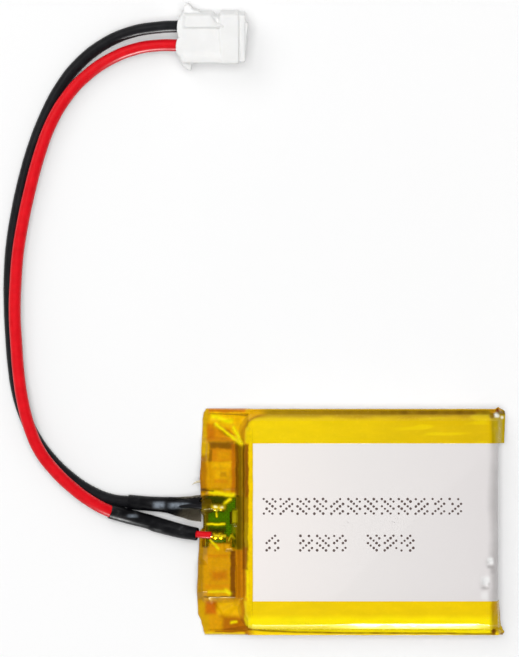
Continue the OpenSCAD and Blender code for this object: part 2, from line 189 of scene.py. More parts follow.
def join(name, pieces):
    """One piece made of several."""
    with bpy.context.temp_override(
        active_object=pieces[0], object=pieces[0], selected_editable_objects=pieces,
        selected_objects=pieces,
    ):
        bpy.ops.object.join()
    pieces[0].name = name
    return pieces[0]


# ---- Materials ----

def srgb(red, green, blue):
    """A screen colour as the linear one the shaders want."""
    return tuple(((v / 255 + 0.055) / 1.055) ** 2.4 if v > 10 else v / 255 / 12.92
                 for v in (red, green, blue))


def put(tree, value, socket):
    """Gives a socket a plain value, or links another socket to it."""
    if isinstance(value, bpy.types.NodeSocket):
        tree.links.new(value, socket)
    else:
        socket.default_value = value


def add_node(tree, kind, **inputs):
    made = tree.nodes.new(kind)
    for key, value in inputs.items():
        put(tree, value, made.inputs[key.replace("_", " ")])
    return made


def add_math(tree, operation, *values, kind="ShaderNodeMath"):
    made = tree.nodes.new(kind)
    made.operation = operation
    for value, socket in zip(values, made.inputs):
        put(tree, value, socket)
    return made.outputs["Value"]


class Look:
    """A Principled material with short ways to add procedural detail."""

    def __init__(self, name, color, roughness=0.5, **sockets):
        self.material = bpy.data.materials.new(name)
        self.material.use_nodes = True
        self.tree = self.material.node_tree
        self.shader = self.tree.nodes["Principled BSDF"]
        self.shader.inputs["Base Color"].default_value = (*color, 1.0)
        self.shader.inputs["Roughness"].default_value = roughness
        for socket, value in sockets.items():
            self.shader.inputs[socket.replace("_", " ")].default_value = value
        self.place = self.tree.nodes.new("ShaderNodeTexCoord").outputs["Object"]
        self.normal = None

    def stretched(self, scale):
        """Object coordinates with their own scale on each axis."""
        return add_node(self.tree, "ShaderNodeMapping", Vector=self.place, Scale=scale).outputs["Vector"]

    def noise(self, per_mm, detail=4.0, place=None):
        made = add_node(self.tree, "ShaderNodeTexNoise", Vector=place or self.place,
                        Scale=per_mm / MM, Detail=detail, Roughness=0.55)
        return made.outputs["Fac"]

    def stored(self, name):
        """The outputs of what the piece's points carry under a name."""
        made = add_node(self.tree, "ShaderNodeAttribute")
        made.attribute_name = name
        return made.outputs

    def span(self, value, **ends):
        """A value carried from one range to another."""
        return add_node(self.tree, "ShaderNodeMapRange", Value=value, **ends).outputs["Result"]

    def blended(self, factor, a, b, kind="MIX"):
        made = self.tree.nodes.new("ShaderNodeMix")
        made.data_type = "RGBA"
        made.blend_type = kind
        for value, socket in ((factor, "Factor"), (a, "A"), (b, "B")):
            put(self.tree, value, made.inputs[socket])
        return made.outputs["Result"]

    def ramp(self, factor, *stops):
        """A colour ramp; each stop is a place and a grey or a colour."""
        made = add_node(self.tree, "ShaderNodeValToRGB", Fac=factor)
        elements = made.color_ramp.elements
        while len(elements) < len(stops):
            elements.new(0.5)
        for element, (place, shade) in zip(elements, stops):
            element.position = place
            rgb = shade if isinstance(shade, tuple) else (shade, shade, shade)
            element.color = (*rgb, 1.0)
        return made.outputs["Color"]

    def color(self, socket):
        put(self.tree, socket, self.shader.inputs["Base Color"])

    def rough(self, factor, low, high):
        put(self.tree, self.span(factor, To_Min=low, To_Max=high), self.shader.inputs["Roughness"])

    def bump(self, height, strength, depth_mm):
        """Adds fine relief on top of any relief added before."""
        made = add_node(self.tree, "ShaderNodeBump", Height=height, Strength=strength,
                        Distance=depth_mm * MM)
        if self.normal is not None:
            put(self.tree, self.normal, made.inputs["Normal"])
        self.normal = made.outputs["Normal"]
        put(self.tree, self.normal, self.shader.inputs["Normal"])

    def see_through(self, tint, opacity):
        """Lets a share of the light through, tinted. opacity is a socket."""
        clear = add_node(self.tree, "ShaderNodeBsdfTransparent", Color=(*tint, 1.0))
        mixer = add_node(self.tree, "ShaderNodeMixShader", Fac=opacity)
        put(self.tree, clear.outputs["BSDF"], mixer.inputs[1])
        put(self.tree, self.shader.outputs["BSDF"], mixer.inputs[2])
        put(self.tree, mixer.outputs["Shader"], self.tree.nodes["Material Output"].inputs["Surface"])


# painted highlight and painted shade for the walls of the pouch's dents
DENT_PAINTED_LIGHT = {"dent_painted_highlight": (0.98, 0.98, 0.97, 1.0), "dent_painted_shade": (0.4, 0.375, 0.37, 1.0)}


def foil_look():
    """Silvery laminate with a painted light falloff, lighter at the head end and darker along the pack,
    painted shade round its far end, and painted light and shade in its dents.
    """
    look = Look("pouch_laminate", (0.8, 0.77, 0.76), 0.42, Metallic=0.12, Coat_Weight=0.15,
                Coat_Roughness=0.3)
    split = add_node(look.tree, "ShaderNodeSeparateXYZ", Vector=look.place)
    along_pack = look.span(split.outputs["X"], From_Min=CUP_X0 * MM, From_Max=(CUP_X1 + 1.2) * MM)
    # the place along the pack, stirred a little by noise, drives the painted light falloff
    painted_falloff_place = add_math(look.tree, "MULTIPLY_ADD", look.noise(0.15, 3), 0.06, along_pack)
    # painted light falloff along the pack, then painted shade where the laminate turns round the far end
    tone = look.ramp(painted_falloff_place, (0.0, (0.96, 0.905, 0.875)), (0.5, (0.86, 0.825, 0.81)),
                     (0.955, (0.8, 0.765, 0.76)), (0.972, (0.68, 0.65, 0.645)),
                     (1.0, (0.5, 0.48, 0.475)))
    # painted highlight and painted shade on the dents' walls
    for attribute, tint in DENT_PAINTED_LIGHT.items():
        tone = look.blended(look.stored(attribute)["Fac"], tone, tint)
    look.color(tone)
    look.rough(look.noise(1.2, 5), 0.36, 0.48)
    look.bump(look.noise(0.5, 2), 0.2, 0.02)
    look.bump(look.noise(14, 6), 0.15, 0.004)
    return look.material


def film_look(name, roughness, coat, gloss, see_through):
    """Clear yellow film over glue, coloured by what it lies on and by painted highlights and shade (the
    paint stored in its points).
    """
    look = Look(name, (0.8, 0.5, 0.01), roughness, Coat_Weight=coat, Coat_Roughness=0.12,
                Specular_IOR_Level=gloss, Coat_Tint=(1.0, 0.97, 0.8, 1.0),
                Specular_Tint=(1.0, 0.85, 0.12, 1.0))
    paint = look.stored("paint")
    streaks = look.noise(0.9, 5, look.stretched((0.35, 1, 1)))
    mottle = look.ramp(streaks, (0.3, 0.95), (0.7, 1.04))
    look.color(look.blended(1.0, paint["Color"], mottle, "MULTIPLY"))
    look.rough(look.noise(2.2, 5), roughness - 0.06, roughness + 0.1)
    look.bump(look.noise(0.6, 3, look.stretched((0.4, 1, 1))), 0.2, 0.04)
    look.bump(look.noise(6, 4), 0.08, 0.006)
    if see_through:
        look.see_through(srgb(255, 244, 110), paint["Alpha"])
    return look.material


def rubber_look(name, dark, light, roughness):
    look = Look(name, dark, roughness, Specular_IOR_Level=0.17)
    look.color(look.ramp(look.noise(0.9, 4), (0.3, dark), (0.75, light)))
    look.rough(look.noise(5, 5), roughness - 0.08, roughness + 0.1)
    look.bump(look.noise(7, 5), 0.22, 0.015)
    look.bump(look.noise(1.1, 2), 0.15, 0.04)
    return look.material


def sleeve_look(name, thin):
    """Shrunk tube with painted glints (painted highlights) where its points say, and drawn to a thin grey
    web where "film" says.
    """
    look = Look(name, (0.006, 0.006, 0.007), 0.36, Specular_IOR_Level=0.13)
    streaks = look.noise(1.1, 6, look.stretched((0.6, 1, 1)))
    skin = look.ramp(streaks, (0.45, (0.003, 0.003, 0.004)), (0.62, (0.01, 0.01, 0.011)),
                     (0.78, (0.06, 0.06, 0.065)))
    patchy = look.ramp(look.noise(2.4, 5), (0.3, 0.5), (0.55, 1.0))
    # painted glints, broken up by noise
    painted_glint_mask = add_math(look.tree, "MULTIPLY", look.stored("glint_paint")["Fac"], patchy)
    look.color(look.blended(painted_glint_mask, skin, (0.27, 0.31, 0.36, 1.0)))
    look.rough(look.noise(3, 4), 0.26, 0.46)
    look.bump(look.noise(1.4, 4, look.stretched((0.5, 1, 1))), 0.4, 0.06)
    look.bump(look.noise(9, 3), 0.15, 0.01)
    if thin:
        cover = look.span(look.stored("film")["Fac"], To_Min=1.0, To_Max=0.22)
        look.see_through(srgb(236, 233, 226), cover)
    return look.material


def nylon_look():
    look = Look("moulded_nylon", (0.9, 0.9, 0.89), 0.4, Subsurface_Weight=0.15,
                Subsurface_Scale=0.0005, Subsurface_Radius=(1.0, 0.9, 0.8), Specular_IOR_Level=0.1)
    look.color(look.ramp(look.noise(0.5, 3), (0.3, (0.87, 0.87, 0.86)), (0.7, (0.91, 0.91, 0.9))))
    look.rough(look.noise(2, 4), 0.38, 0.55)
    look.bump(look.noise(12, 4), 0.12, 0.006)
    return look.material


def metal_look(name, dark, light, roughness, brushed=(1, 1, 1)):
    look = Look(name, light, roughness, Metallic=1.0)
    lines = look.noise(3, 5, look.stretched(brushed))
    look.color(look.ramp(lines, (0.3, dark), (0.7, light)))
    look.rough(look.noise(4, 4), roughness - 0.08, roughness + 0.1)
    look.bump(lines, 0.25, 0.01)
    return look.material


def board_look():
    look = Look("green_solder_mask", (0.04, 0.3, 0.03), 0.3, Coat_Weight=0.4, Coat_Roughness=0.1)
    tracks = add_node(look.tree, "ShaderNodeTexBrick", Vector=look.place, Scale=1.0 / MM,
                      Mortar_Size=0.06, Color1=(0.04, 0.26, 0.03, 1), Color2=(0.07, 0.4, 0.05, 1),
                      Mortar=(0.03, 0.18, 0.02, 1))
    look.color(tracks.outputs["Color"])
    look.bump(look.noise(6, 3), 0.2, 0.01)
    return look.material


def plain_look(name, dark, light, roughness, per_mm=2.0):
    """A moulded, pressed or coated stuff, mottled between two shades."""
    look = Look(name, dark, roughness)
    look.color(look.ramp(look.noise(per_mm, 5), (0.3, dark), (0.7, light)))
    look.rough(look.noise(per_mm * 2, 4), max(roughness - 0.1, 0.05), min(roughness + 0.1, 1.0))
    look.bump(look.noise(per_mm * 4, 4), 0.2, 0.012)
    return look.material


FOIL = foil_look()
YELLOW = film_look("yellow_film_tape", 0.24, 0.12, 0.24, False)
AMBER = film_look("amber_film_tape", 0.34, 0.1, 0.14, True)
BLACK = rubber_look("black_silicone", (0.006, 0.006, 0.0075), (0.014, 0.014, 0.016), 0.36)
RED = rubber_look("red_silicone", (0.68, 0.002, 0.008), (0.82, 0.006, 0.014), 0.33)
SLEEVE = sleeve_look("black_heat_shrink", False)
THIN_SLEEVE = sleeve_look("thin_black_heat_shrink", True)
NYLON = nylon_look()
NICKEL = metal_look("nickel_strip", (0.55, 0.53, 0.5), (0.76, 0.74, 0.7), 0.3, (0.15, 1, 1))
SOLDER = metal_look("bright_solder", (0.8, 0.8, 0.8), (0.95, 0.95, 0.93), 0.3)
TIN = metal_look("tinned_contact", (0.6, 0.59, 0.55), (0.82, 0.8, 0.76), 0.25)
COPPER = metal_look("bare_copper_strands", (0.55, 0.24, 0.12), (0.85, 0.45, 0.25), 0.3, (0.1, 1, 1))
BOARD = board_look()


# ---- Camera ----

PHOTO_MM = (66.5, 84.2)  # what the photo spans
SENSOR_MM = 36
AIM = Vector((-11.9, 24.8, 3.0)) * MM
CAMERA_HEIGHT = 0.8


def make_camera():
    """Looks straight down, as the photo does."""
    camera = bpy.data.objects.new("camera", bpy.data.cameras.new("camera"))
    camera.location = (AIM.x, AIM.y, CAMERA_HEIGHT)
    camera.data.sensor_width = SENSOR_MM
    camera.data.lens = SENSOR_MM * (CAMERA_HEIGHT - AIM.z) / (PHOTO_MM[1] * MM)
    camera.data.clip_start = 0.01
    camera.data.clip_end = 20
    bpy.context.scene.collection.objects.link(camera)
    bpy.context.scene.camera = camera


make_camera()


# ---- Leads ----

def lead(name, route, diameter, material):
    """A round lead on one smooth curve through the route's points."""
    curve = bpy.data.curves.new(name, "CURVE")
    curve.dimensions = "3D"
    curve.bevel_depth = diameter / 2 * MM
    curve.bevel_resolution = 6
    curve.resolution_u = 10
    curve.use_fill_caps = True
    spline = curve.splines.new("BEZIER")
    spline.bezier_points.add(len(route) - 1)
    for point, place in zip(spline.bezier_points, route):
        point.co = Vector(place) * MM
        point.handle_left_type = "AUTO"
        point.handle_right_type = "AUTO"
    curve.materials.append(material)
    piece = bpy.data.objects.new(name, curve)
    bpy.context.scene.collection.objects.link(piece)
    return piece


black_lead = lead("black_lead_insulation", BLACK_ROUTE, LEAD_D, BLACK)
red_lead = lead("red_lead_insulation", RED_ROUTE, LEAD_D, RED)
black_short = lead("black_board_lead", BLACK_SHORT, SHORT_D, BLACK)
red_short = lead("red_board_lead", RED_SHORT, SHORT_D, RED)
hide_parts("black_lead")
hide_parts("red_lead")
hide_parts("black_short_lead")
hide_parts("red_short_lead")


# ---- Heat-shrink sleeves ----

def smooth_line(stations, count):
    """Stations read evenly along a Catmull-Rom line; each is a flat tuple of numbers."""
    made = []
    last = len(stations) - 1
    for n in range(count):
        place = n / (count - 1) * last
        i = min(int(place), last - 1)
        t = place - i
        p0, p1, p2, p3 = (stations[min(max(i + k, 0), last)] for k in (-1, 0, 1, 2))
        made.append(tuple(
            0.5 * (2 * b + (c - a) * t + (2 * a - 5 * b + 4 * c - d) * t * t
                   + (3 * b - a - 3 * c + d) * t ** 3)
            for a, b, c, d in zip(p0, p1, p2, p3)
        ))
    return made


SLEEVE_SIDES = 56
SLEEVE_RINGS = 90
SLEEVE_WALL = 0.06


def sleeve_ring(line, i, flap):
    """One ring of a sleeve: for each point its place, how thin the skin is and how strongly a painted
    glint covers it.
    """
    x, y, z, w, h, shift = line[i]
    ahead = Vector(line[min(i + 1, len(line) - 1)][:3]) - Vector(line[max(i - 1, 0)][:3])
    side = Vector((0, 0, 1)).cross(ahead).normalized()
    up = ahead.cross(side).normalized()
    spread = smoothstep(0.97, 1.4, w)
    ring = []
    for k in range(SLEEVE_SIDES):
        a = 2 * math.pi * k / SLEEVE_SIDES
        across = w * math.cos(a)
        bulge = math.exp(-((across - shift) / 0.52) ** 2) if flap else 1.0
        height = mix(h, mix(0.16, h, bulge), spread)
        crease = 0.02 + 0.03 * wobble(i * 0.17, 3 * math.cos(a) + 2 * math.sin(a), 1.0, w)
        rise = math.copysign(abs(math.sin(a)) ** mix(1.0, 0.75, spread), math.sin(a))
        place = Vector((x, y, z)) + side * across + up * ((height + crease) * rise)
        thin = spread * (1 - smoothstep(0.2, 0.75, bulge))
        # painted glints, on the upper half of the tube only
        painted_glint_share = spot_strength(place.x, place.y, SLEEVE_PAINTED_GLINTS) if math.sin(a) > 0.2 else 0.0
        ring.append((place, thin, painted_glint_share))
    return ring


def sleeve(name, stations, material, flap=False):
    """A shrunk tube. A station is x, y, z, half width, half height and the lead's offset in it.

    flap: where the tube is wider than its lead, the skin beside the lead is squashed flat.
    """
    line = smooth_line(stations, SLEEVE_RINGS)
    points = [point for i in range(SLEEVE_RINGS) for point in sleeve_ring(line, i, flap)]
    faces = grid_faces(SLEEVE_RINGS, SLEEVE_SIDES, ring=True)
    piece = mesh_piece(name, [place for place, thin, painted_glint_share in points], faces, material)
    store_values(piece, "film", [thin for place, thin, painted_glint_share in points])
    store_values(piece, "glint_paint", [painted_glint_share for place, thin, painted_glint_share in points])
    return thicken(piece, SLEEVE_WALL)


SLEEVE_PAINTED_GLINTS = [
    # x, y, half length, half width, strength: painted glints, painted highlights where the shrunk skin
    # catches the light
    (-24.8, 2.15, 0.7, 0.42, 0.85), (-22.2, 2.05, 1.25, 0.38, 1.0), (-28.2, 0.75, 0.6, 0.2, 0.6),
]
BLACK_SLEEVE = [
    (-28.8, 2.52, 0.9, 0.92, 0.9, 0), (-28.0, 2.45, 0.92, 0.94, 0.92, 0),
    (-26.3, 2.3, 0.93, 0.94, 0.93, 0), (-24.6, 2.2, 1.05, 0.98, 0.94, 0),
    (-23.4, 2.1, 1.2, 1.08, 0.88, 0.2), (-22.4, 1.95, 1.5, 1.24, 0.8, 0.42),
    (-21.4, 1.85, 1.95, 1.42, 0.7, 0.62), (-20.5, 1.75, 2.35, 1.6, 0.62, 0.82),
    (-19.4, 1.75, 2.85, 1.74, 0.6, 0.92),
]
RED_SLEEVE = [
    (-31.1, 1.33, 1.7, 0.92, 0.92, 0), (-30.2, 1.08, 1.48, 0.95, 0.95, 0),
    (-28.5, 0.6, 1.1, 0.95, 0.95, 0), (-26.2, 0.0, 1.0, 0.94, 0.94, 0),
    (-25.3, -0.32, 1.05, 0.99, 0.95, 0), (-24.0, -0.68, 1.12, 0.97, 0.92, 0),
    (-22.2, -1.15, 1.7, 0.93, 0.82, 0), (-20.8, -1.42, 2.3, 0.87, 0.7, 0),
    (-19.9, -1.57, 2.65, 0.83, 0.62, 0),
]

black_sleeve = sleeve("black_lead_sleeve", BLACK_SLEEVE, THIN_SLEEVE, flap=True)
red_sleeve = sleeve("red_lead_sleeve", RED_SLEEVE, SLEEVE)
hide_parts("black_sleeve")
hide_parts("red_sleeve")


# ---- The pack's upper surface, which the pouch and the tapes follow ----

RIDGE = (13.92, 14.12)  # where the folded side seam stands, from the pack's middle
SEAM_TOP = 3.4
TERRACE_TOP = 0.75
TAPE_EDGE = 14.36  # the tape's flat edge outside the seam


def inside_cup(x, y):
    """Distance inside the cup's rounded outline; negative outside it."""
    qx = abs(x - (CUP_X0 + CUP_X1) / 2) - ((CUP_X1 - CUP_X0) / 2 - CUP_CORNER)
    qy = abs(y) - (CUP_HALF - CUP_CORNER)
    return CUP_CORNER - math.hypot(max(qx, 0), max(qy, 0)) - min(max(qx, qy), 0)


def cup_height(x, y, slope):
    """The cup's top and rounded edge, then a fall at that slope outside it."""
    d = inside_cup(x, y)
    if d >= CUP_EDGE:
        return CUP_TOP
    if d >= 0:
        return CUP_TOP - CUP_EDGE + math.sqrt(CUP_EDGE ** 2 - (CUP_EDGE - d) ** 2)
    return CUP_TOP - CUP_EDGE + slope * d


def bridge_height(x, y):
    """The film spans straight from the cup's shoulder to the top of the folded seam."""
    from_seam = RIDGE[0] + 0.05 - abs(y)
    if from_seam <= 0:
        return -1.0
    if y > 0:
        return min(SEAM_TOP + 1.08 * from_seam, CUP_TOP)
    flat = smoothstep(-5, 1, x) * (1 - smoothstep(15.5, 17.8, x))
    curl = mix(0.6, 0.1, flat)
    slope = mix(1.22, 0.96, flat) + 0.07 * wobble(x * 0.3, 0, 1.0, 12) + curl / 2
    valley = 1.7 * max(0.3 - from_seam, 0)
    return min(SEAM_TOP + 0.1 * flat + slope * from_seam - curl * from_seam ** 2 / 2.2 - valley, CUP_TOP)


def ridge_height(x, y):
    """The folded side seam just outside the cup, and the tape's edge outside that."""
    level = mix(1.7, SEAM_TOP, smoothstep(-18.4, CUP_X0 + 1.5, x)) * smoothstep(-18.9, -18.2, x)
    middle = (RIDGE[0] + RIDGE[1]) / 2
    off = max(abs(abs(y) - middle) - (RIDGE[1] - RIDGE[0]) / 2, 0)
    seam = level - 6.0 * off
    drop, flat = (0.22, 0.07) if y > 0 else (0.02, 0.2)
    edge = level - drop - 2.2 * max(abs(abs(y) - TAPE_EDGE) - flat, 0)
    return max(seam, edge)


def side_height(x, y, bridged):
    """What holds the film up along the long edges."""
    floor = mix(1.1, 2.5, smoothstep(CUP_X0 - 0.3, CUP_X0 + 2.5, x))
    heights = [cup_height(x, y, 5.5), ridge_height(x, y), floor]
    if bridged and x > CUP_X0 + 0.5:
        inside_ends = inside_cup(x, min(abs(y), CUP_HALF - CUP_CORNER))
        heights.append(bridge_height(x, y) - 0.9 * max(CUP_CORNER * 0.4 - inside_ends, 0))
    return soft_max(heights, 16.0)


BUMPS = [
    # x0, x1, y0, y1, top: what lies under the film at the board end
    (BOARD_LOW.x, BOARD_HIGH.x, BOARD_LOW.y, BOARD_HIGH.y, BOARD_HIGH.z),
]
for node in ("negative_weld_plate", "positive_weld_plate", "negative_tab", "positive_tab",
             "sense_resistor", "filter_capacitor"):
    low, high = box_mm(node)
    BUMPS.append((max(low.x, -19.2), min(high.x, -14.9), low.y, high.y, high.z))
BUMPS.append((-19.6, -17.9, 1.7, 2.35, 3.25))  # the black lead's end
PAPER_LOW, PAPER_HIGH = box_mm("insulation_sheet")
BUMPS.append((PAPER_HIGH.x - 0.2, PAPER_HIGH.x + 0.3, PAPER_LOW.y, PAPER_HIGH.y, PAPER_HIGH.z + 0.05))
BEAD_R = 0.6
BEAD_TOP = box_mm("black_solder")[1].z
BEADS = []
for node in ("black_solder", "red_solder"):
    low, high = box_mm(node)
    BEADS += [(x, (low.y + high.y) / 2) for x in (low.x + BEAD_R, high.x - BEAD_R)]


def deck_height(x, y):
    """The film over the board: it rests on what is under it and slopes down from there."""
    heights = [TERRACE_TOP + 0.35 + 0.05 * (x - TERRACE_X0)]
    for x0, x1, y0, y1, top in BUMPS:
        away = math.hypot(max(x0 - x, 0, x - x1), max(y0 - y, 0, y - y1))
        heights.append(top - 1.5 * away)
    for bead_x, bead_y in BEADS:
        away = math.hypot(x - bead_x, y - bead_y)
        heights.append(BEAD_TOP - BEAD_R + math.sqrt(BEAD_R * BEAD_R - away * away) if away < BEAD_R * 0.8
                       else BEAD_TOP - 0.24 - 1.5 * (away - BEAD_R * 0.8))
    heights.append(cup_height(x, y, slope=2.6))
    return soft_max(heights, 12.0)


CREASES = [
    # from, to, height, half width: film folds that stand up from the deck
    ((-17.5, 12.5), (-14.4, 10.1), 0.55, 0.28),
    ((-15.2, 12.0), (-14.2, 10.1), 0.35, 0.2),
    ((-17.9, 12.9), (-14.6, 13.4), 0.3, 0.35),
    ((-18.3, -10.1), (-16.9, -11.9), 0.35, 0.3),
    ((-16.9, -11.9), (-14.6, -10.4), 0.3, 0.4),
    ((-15.3, -12.9), (-14.9, -13.1), 0.3, 0.3),
    ((-18.4, 3.6), (-15.0, 3.3), 0.18, 0.22),
    ((-18.3, -2.3), (-17.2, -3.5), 0.2, 0.16),
    ((-18.6, 8.8), (-18.3, 4.4), 0.12, 0.2),
]


def crease_height(x, y):
    total = 0.0
    for (ax, ay), (bx, by), height, half in CREASES:
        away, t = away_from_line(x, y, (ax, ay), (bx, by))
        fade = 1 - 0.4 * abs(2 * t - 1)
        total += height * fade * math.exp(-(away / half) ** 2)
    return total


# ---- Pouch ----

DIMPLES = [
    # x, y, half width, reach up, reach down, depth: the dents near the plain end
    (17.65, -5.35, 0.42, 0.7, 0.28, 0.42), (17.1, -8.25, 0.52, 1.1, 0.3, 0.5),
    (16.2, -7.9, 0.5, 0.7, 0.7, -0.06),
]


DENT_LIGHTS = [
    # x, y, half length, half width, strength: the wall of each dent that faces the light, which gets a
    # painted highlight
    (17.62, -4.95, 0.4, 0.45, 1.0), (17.0, -7.55, 0.55, 0.62, 1.0), (16.9, -9.4, 0.5, 0.5, 0.5),
]
# x, y, half length, half width, strength: the dent walls that get painted shade
DENT_SHADES = [
    (17.72, -5.72, 0.5, 0.2, 0.75), (18.0, -6.2, 0.35, 0.4, 0.4), (17.05, -8.42, 0.6, 0.16, 0.6),
    (17.5, -8.0, 0.2, 0.35, 0.4),
]


def pouch_height_change(x, y):
    change = 0.02 * wobble(x, y, 6, 2) + 0.008 * wobble(x, y, 1.6, 5)
    for dx, dy, half, up, down, depth in DIMPLES:
        off_x, off_y = (x - dx) / half, (y - dy) / (up if y > dy else down)
        change -= depth * math.exp(-off_x ** 2 - off_y ** 2)
    return change


def cup_outline(inset, count):
    """The cup's rounded rectangle, drawn in by inset, as evenly spread points."""
    r = max(CUP_CORNER - inset, 0.02)
    cx = (CUP_X0 + CUP_X1) / 2
    hx = (CUP_X1 - CUP_X0) / 2 - inset - r
    hy = CUP_HALF - inset - r
    sides = [2 * hy, 2 * hx, 2 * hy, 2 * hx]
    arc = math.pi * r / 2
    total = sum(sides) + 4 * arc
    corners = [(cx + hx, -hy), (cx + hx, hy), (cx - hx, hy), (cx - hx, -hy)]
    points = []
    for n in range(count):
        s = n / count * total
        for k in range(4):
            heading = k * math.pi / 2
            x0, y0 = corners[k]
            if s < sides[k]:
                ahead = (-math.sin(heading), math.cos(heading))
                points.append((x0 + r * math.cos(heading) + ahead[0] * s,
                               y0 + r * math.sin(heading) + ahead[1] * s))
                break
            s -= sides[k]
            x1, y1 = corners[(k + 1) % 4]
            if s < arc:
                a = heading + s / r
                points.append((x1 + r * math.cos(a), y1 + r * math.sin(a)))
                break
            s -= arc
        else:
            points.append(points[0])
    return points


def make_pouch():
    """The drawn cup, in rings from the middle of its top, over the rounded edge and down the side."""
    count = 560
    rings = []
    middle = CUP_HALF - 0.1
    for n in range(52):
        inset = CUP_EDGE + (middle - CUP_EDGE) * (1 - n / 51) ** 1.8
        rings.append([(x, y, CUP_TOP + pouch_height_change(x, y)) for x, y in cup_outline(inset, count)])
    for n in range(1, 15):
        a = n / 14 * math.pi / 2
        inset = CUP_EDGE * (1 - math.sin(a))
        z = CUP_TOP - CUP_EDGE * (1 - math.cos(a))
        rings.append([(x, y, z + (1 - n / 14) * pouch_height_change(x, y))
                      for x, y in cup_outline(inset, count)])
    for n in range(1, 9):
        z = mix(CUP_TOP - CUP_EDGE, BACK_LOW.z + 0.25, n / 8)
        rings.append([(x + 0.05 * wobble(y, z, 3), y, z) for x, y in cup_outline(0, count)])
    points = [p for ring in rings for p in ring]
    faces = [face[::-1] for face in grid_faces(len(rings), count, ring=True)]
    faces.append(tuple(range(count)))
    cup = mesh_piece("drawn_pouch_cup", points, faces, FOIL)
    # where the dents get their painted highlight and painted shade
    for attribute, spots in (("dent_painted_highlight", DENT_LIGHTS), ("dent_painted_shade", DENT_SHADES)):
        store_values(cup, attribute, [spot_strength(x, y, spots) for x, y, z in points])
    return thicken(cup, 0.12)


def make_terrace():
    """The pouch's sealed edge under the board."""
    rows, columns = 60, 14
    points = []
    for r in range(rows):
        for c in range(columns):
            x = mix(TERRACE_X0, CUP_X0 + 0.3, c / (columns - 1))
            y = mix(-CUP_HALF, CUP_HALF, r / (rows - 1))
            points.append((x, y, 0.7 + 0.02 * math.sin(x * 9) + 0.015 * wobble(x, y, 1.5)))
    return thicken(mesh_piece("pouch_terrace", points, grid_faces(rows, columns), FOIL), 0.14)


pouch = make_pouch()
terrace = make_terrace()
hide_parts("pouch_cup")


# ---- Edge tapes ----

# the ragged loose ends, as (distance from the middle, x)
TOP_TIP = [(10.0, 19.5), (13.8, 19.62), (14.2, 19.55), (14.5, 19.2)]
BOTTOM_TIP = [(10.0, 18.75), (12.1, 18.95), (13.1, 19.02), (13.6, 19.25), (14.1, 19.5), (14.5, 19.3)]
TAPE_NEAR = srgb(250, 214, 3)
# a darker yellow: the tape's sides, and the far end of the upper tape's painted light falloff
TAPE_FAR = srgb(222, 184, 3)
# a brighter yellow: painted highlight on the lower tape's slope, and paler patches on the upper tape
TAPE_BRIGHT = srgb(255, 232, 4)
# painted shade along the upper tape's curve, and the duller yellow of the lower tape's loose end
TAPE_DULL_AND_SHADE = srgb(190, 148, 6)
# painted shade in the hollow beside the upper seam and where the tapes cross the cup's rounded end
TAPE_HOLLOW_SHADE = srgb(100, 66, 2)
TAPE_LOOSE = srgb(190, 164, 2)


TIP_SPOTS = {
    # x, y, size, shade: painted glints (white painted highlights) and darker spots at the pinches of the
    # loose ends
    1: [(18.35, 13.7, 0.3, (1.0, 1.0, 0.95)), (18.65, 13.6, 0.22, (1.0, 1.0, 0.9)),
        (19.2, 13.4, 0.2, (1.0, 0.98, 0.8)), (18.6, 14.2, 0.22, srgb(130, 40, 4)),
        (18.9, 14.4, 0.25, srgb(214, 150, 6)), (18.0, 14.3, 0.4, srgb(196, 140, 6)),
        (17.9, 13.6, 0.35, srgb(150, 116, 4))],
    -1: [(18.1, 14.0, 0.35, srgb(110, 60, 8)), (18.6, 14.35, 0.3, srgb(250, 214, 20)),
         (19.3, 13.0, 0.5, srgb(196, 168, 12)), (18.3, 10.8, 0.6, srgb(198, 150, 14))],
}


# the hollow beside the lower seam, where a line of painted shade runs, as (x, distance from the middle)
LOWER_HOLLOW = [(-13.2, 13.75), (-9.9, 13.97), (-6.7, 14.1), (0.0, 14.2), (12.0, 14.24), (15.7, 14.34)]
TAPE_ROWS = 320
TAPE_TOP_COLUMNS = 70
TAPE_SIDE_SHARES = [0.97, 0.9, 0.78, 0.62, 0.45, 0.28, 0.14, 0.05]
TAPE_UNDER_COLUMNS = 10
LOOSE_X = 17.6  # from here on the tape's rows gather into its ragged end


def blend(a, b, t):
    return tuple(mix(u, v, t) for u, v in zip(a, b))


def corner_depth(x, y, radius):
    """Distance inside the cup's outline near its rounded corner at the head end."""
    out_x, out_y = CUP_X0 + radius - x, abs(y) - (CUP_HALF - radius)
    return radius - math.hypot(max(out_x, 0), max(out_y, 0))


def corner_shade(x, y, side, shade):
    """Painted shade where the film falls away round the cup's corner: amber past the corner and darker
    along it.
    """
    radius = 2.6 if side > 0 else 1.1
    depth = corner_depth(x, y, radius) + 0.06 * wobble(x, y, 0.7, 31)
    near = 1 - smoothstep(CUP_X0 + radius - 0.8, CUP_X0 + radius + 0.7, x)
    outside = srgb(232, 174, 4) if side > 0 else srgb(176, 100, 5)
    shade = blend(shade, outside, 0.95 * near * (1 - smoothstep(-0.2, 0.12, depth)))
    rim = srgb(176, 116, 4) if side > 0 else srgb(150, 80, 5)
    return blend(shade, rim, 0.85 * near * math.exp(-((depth + 0.03) / 0.17) ** 2))


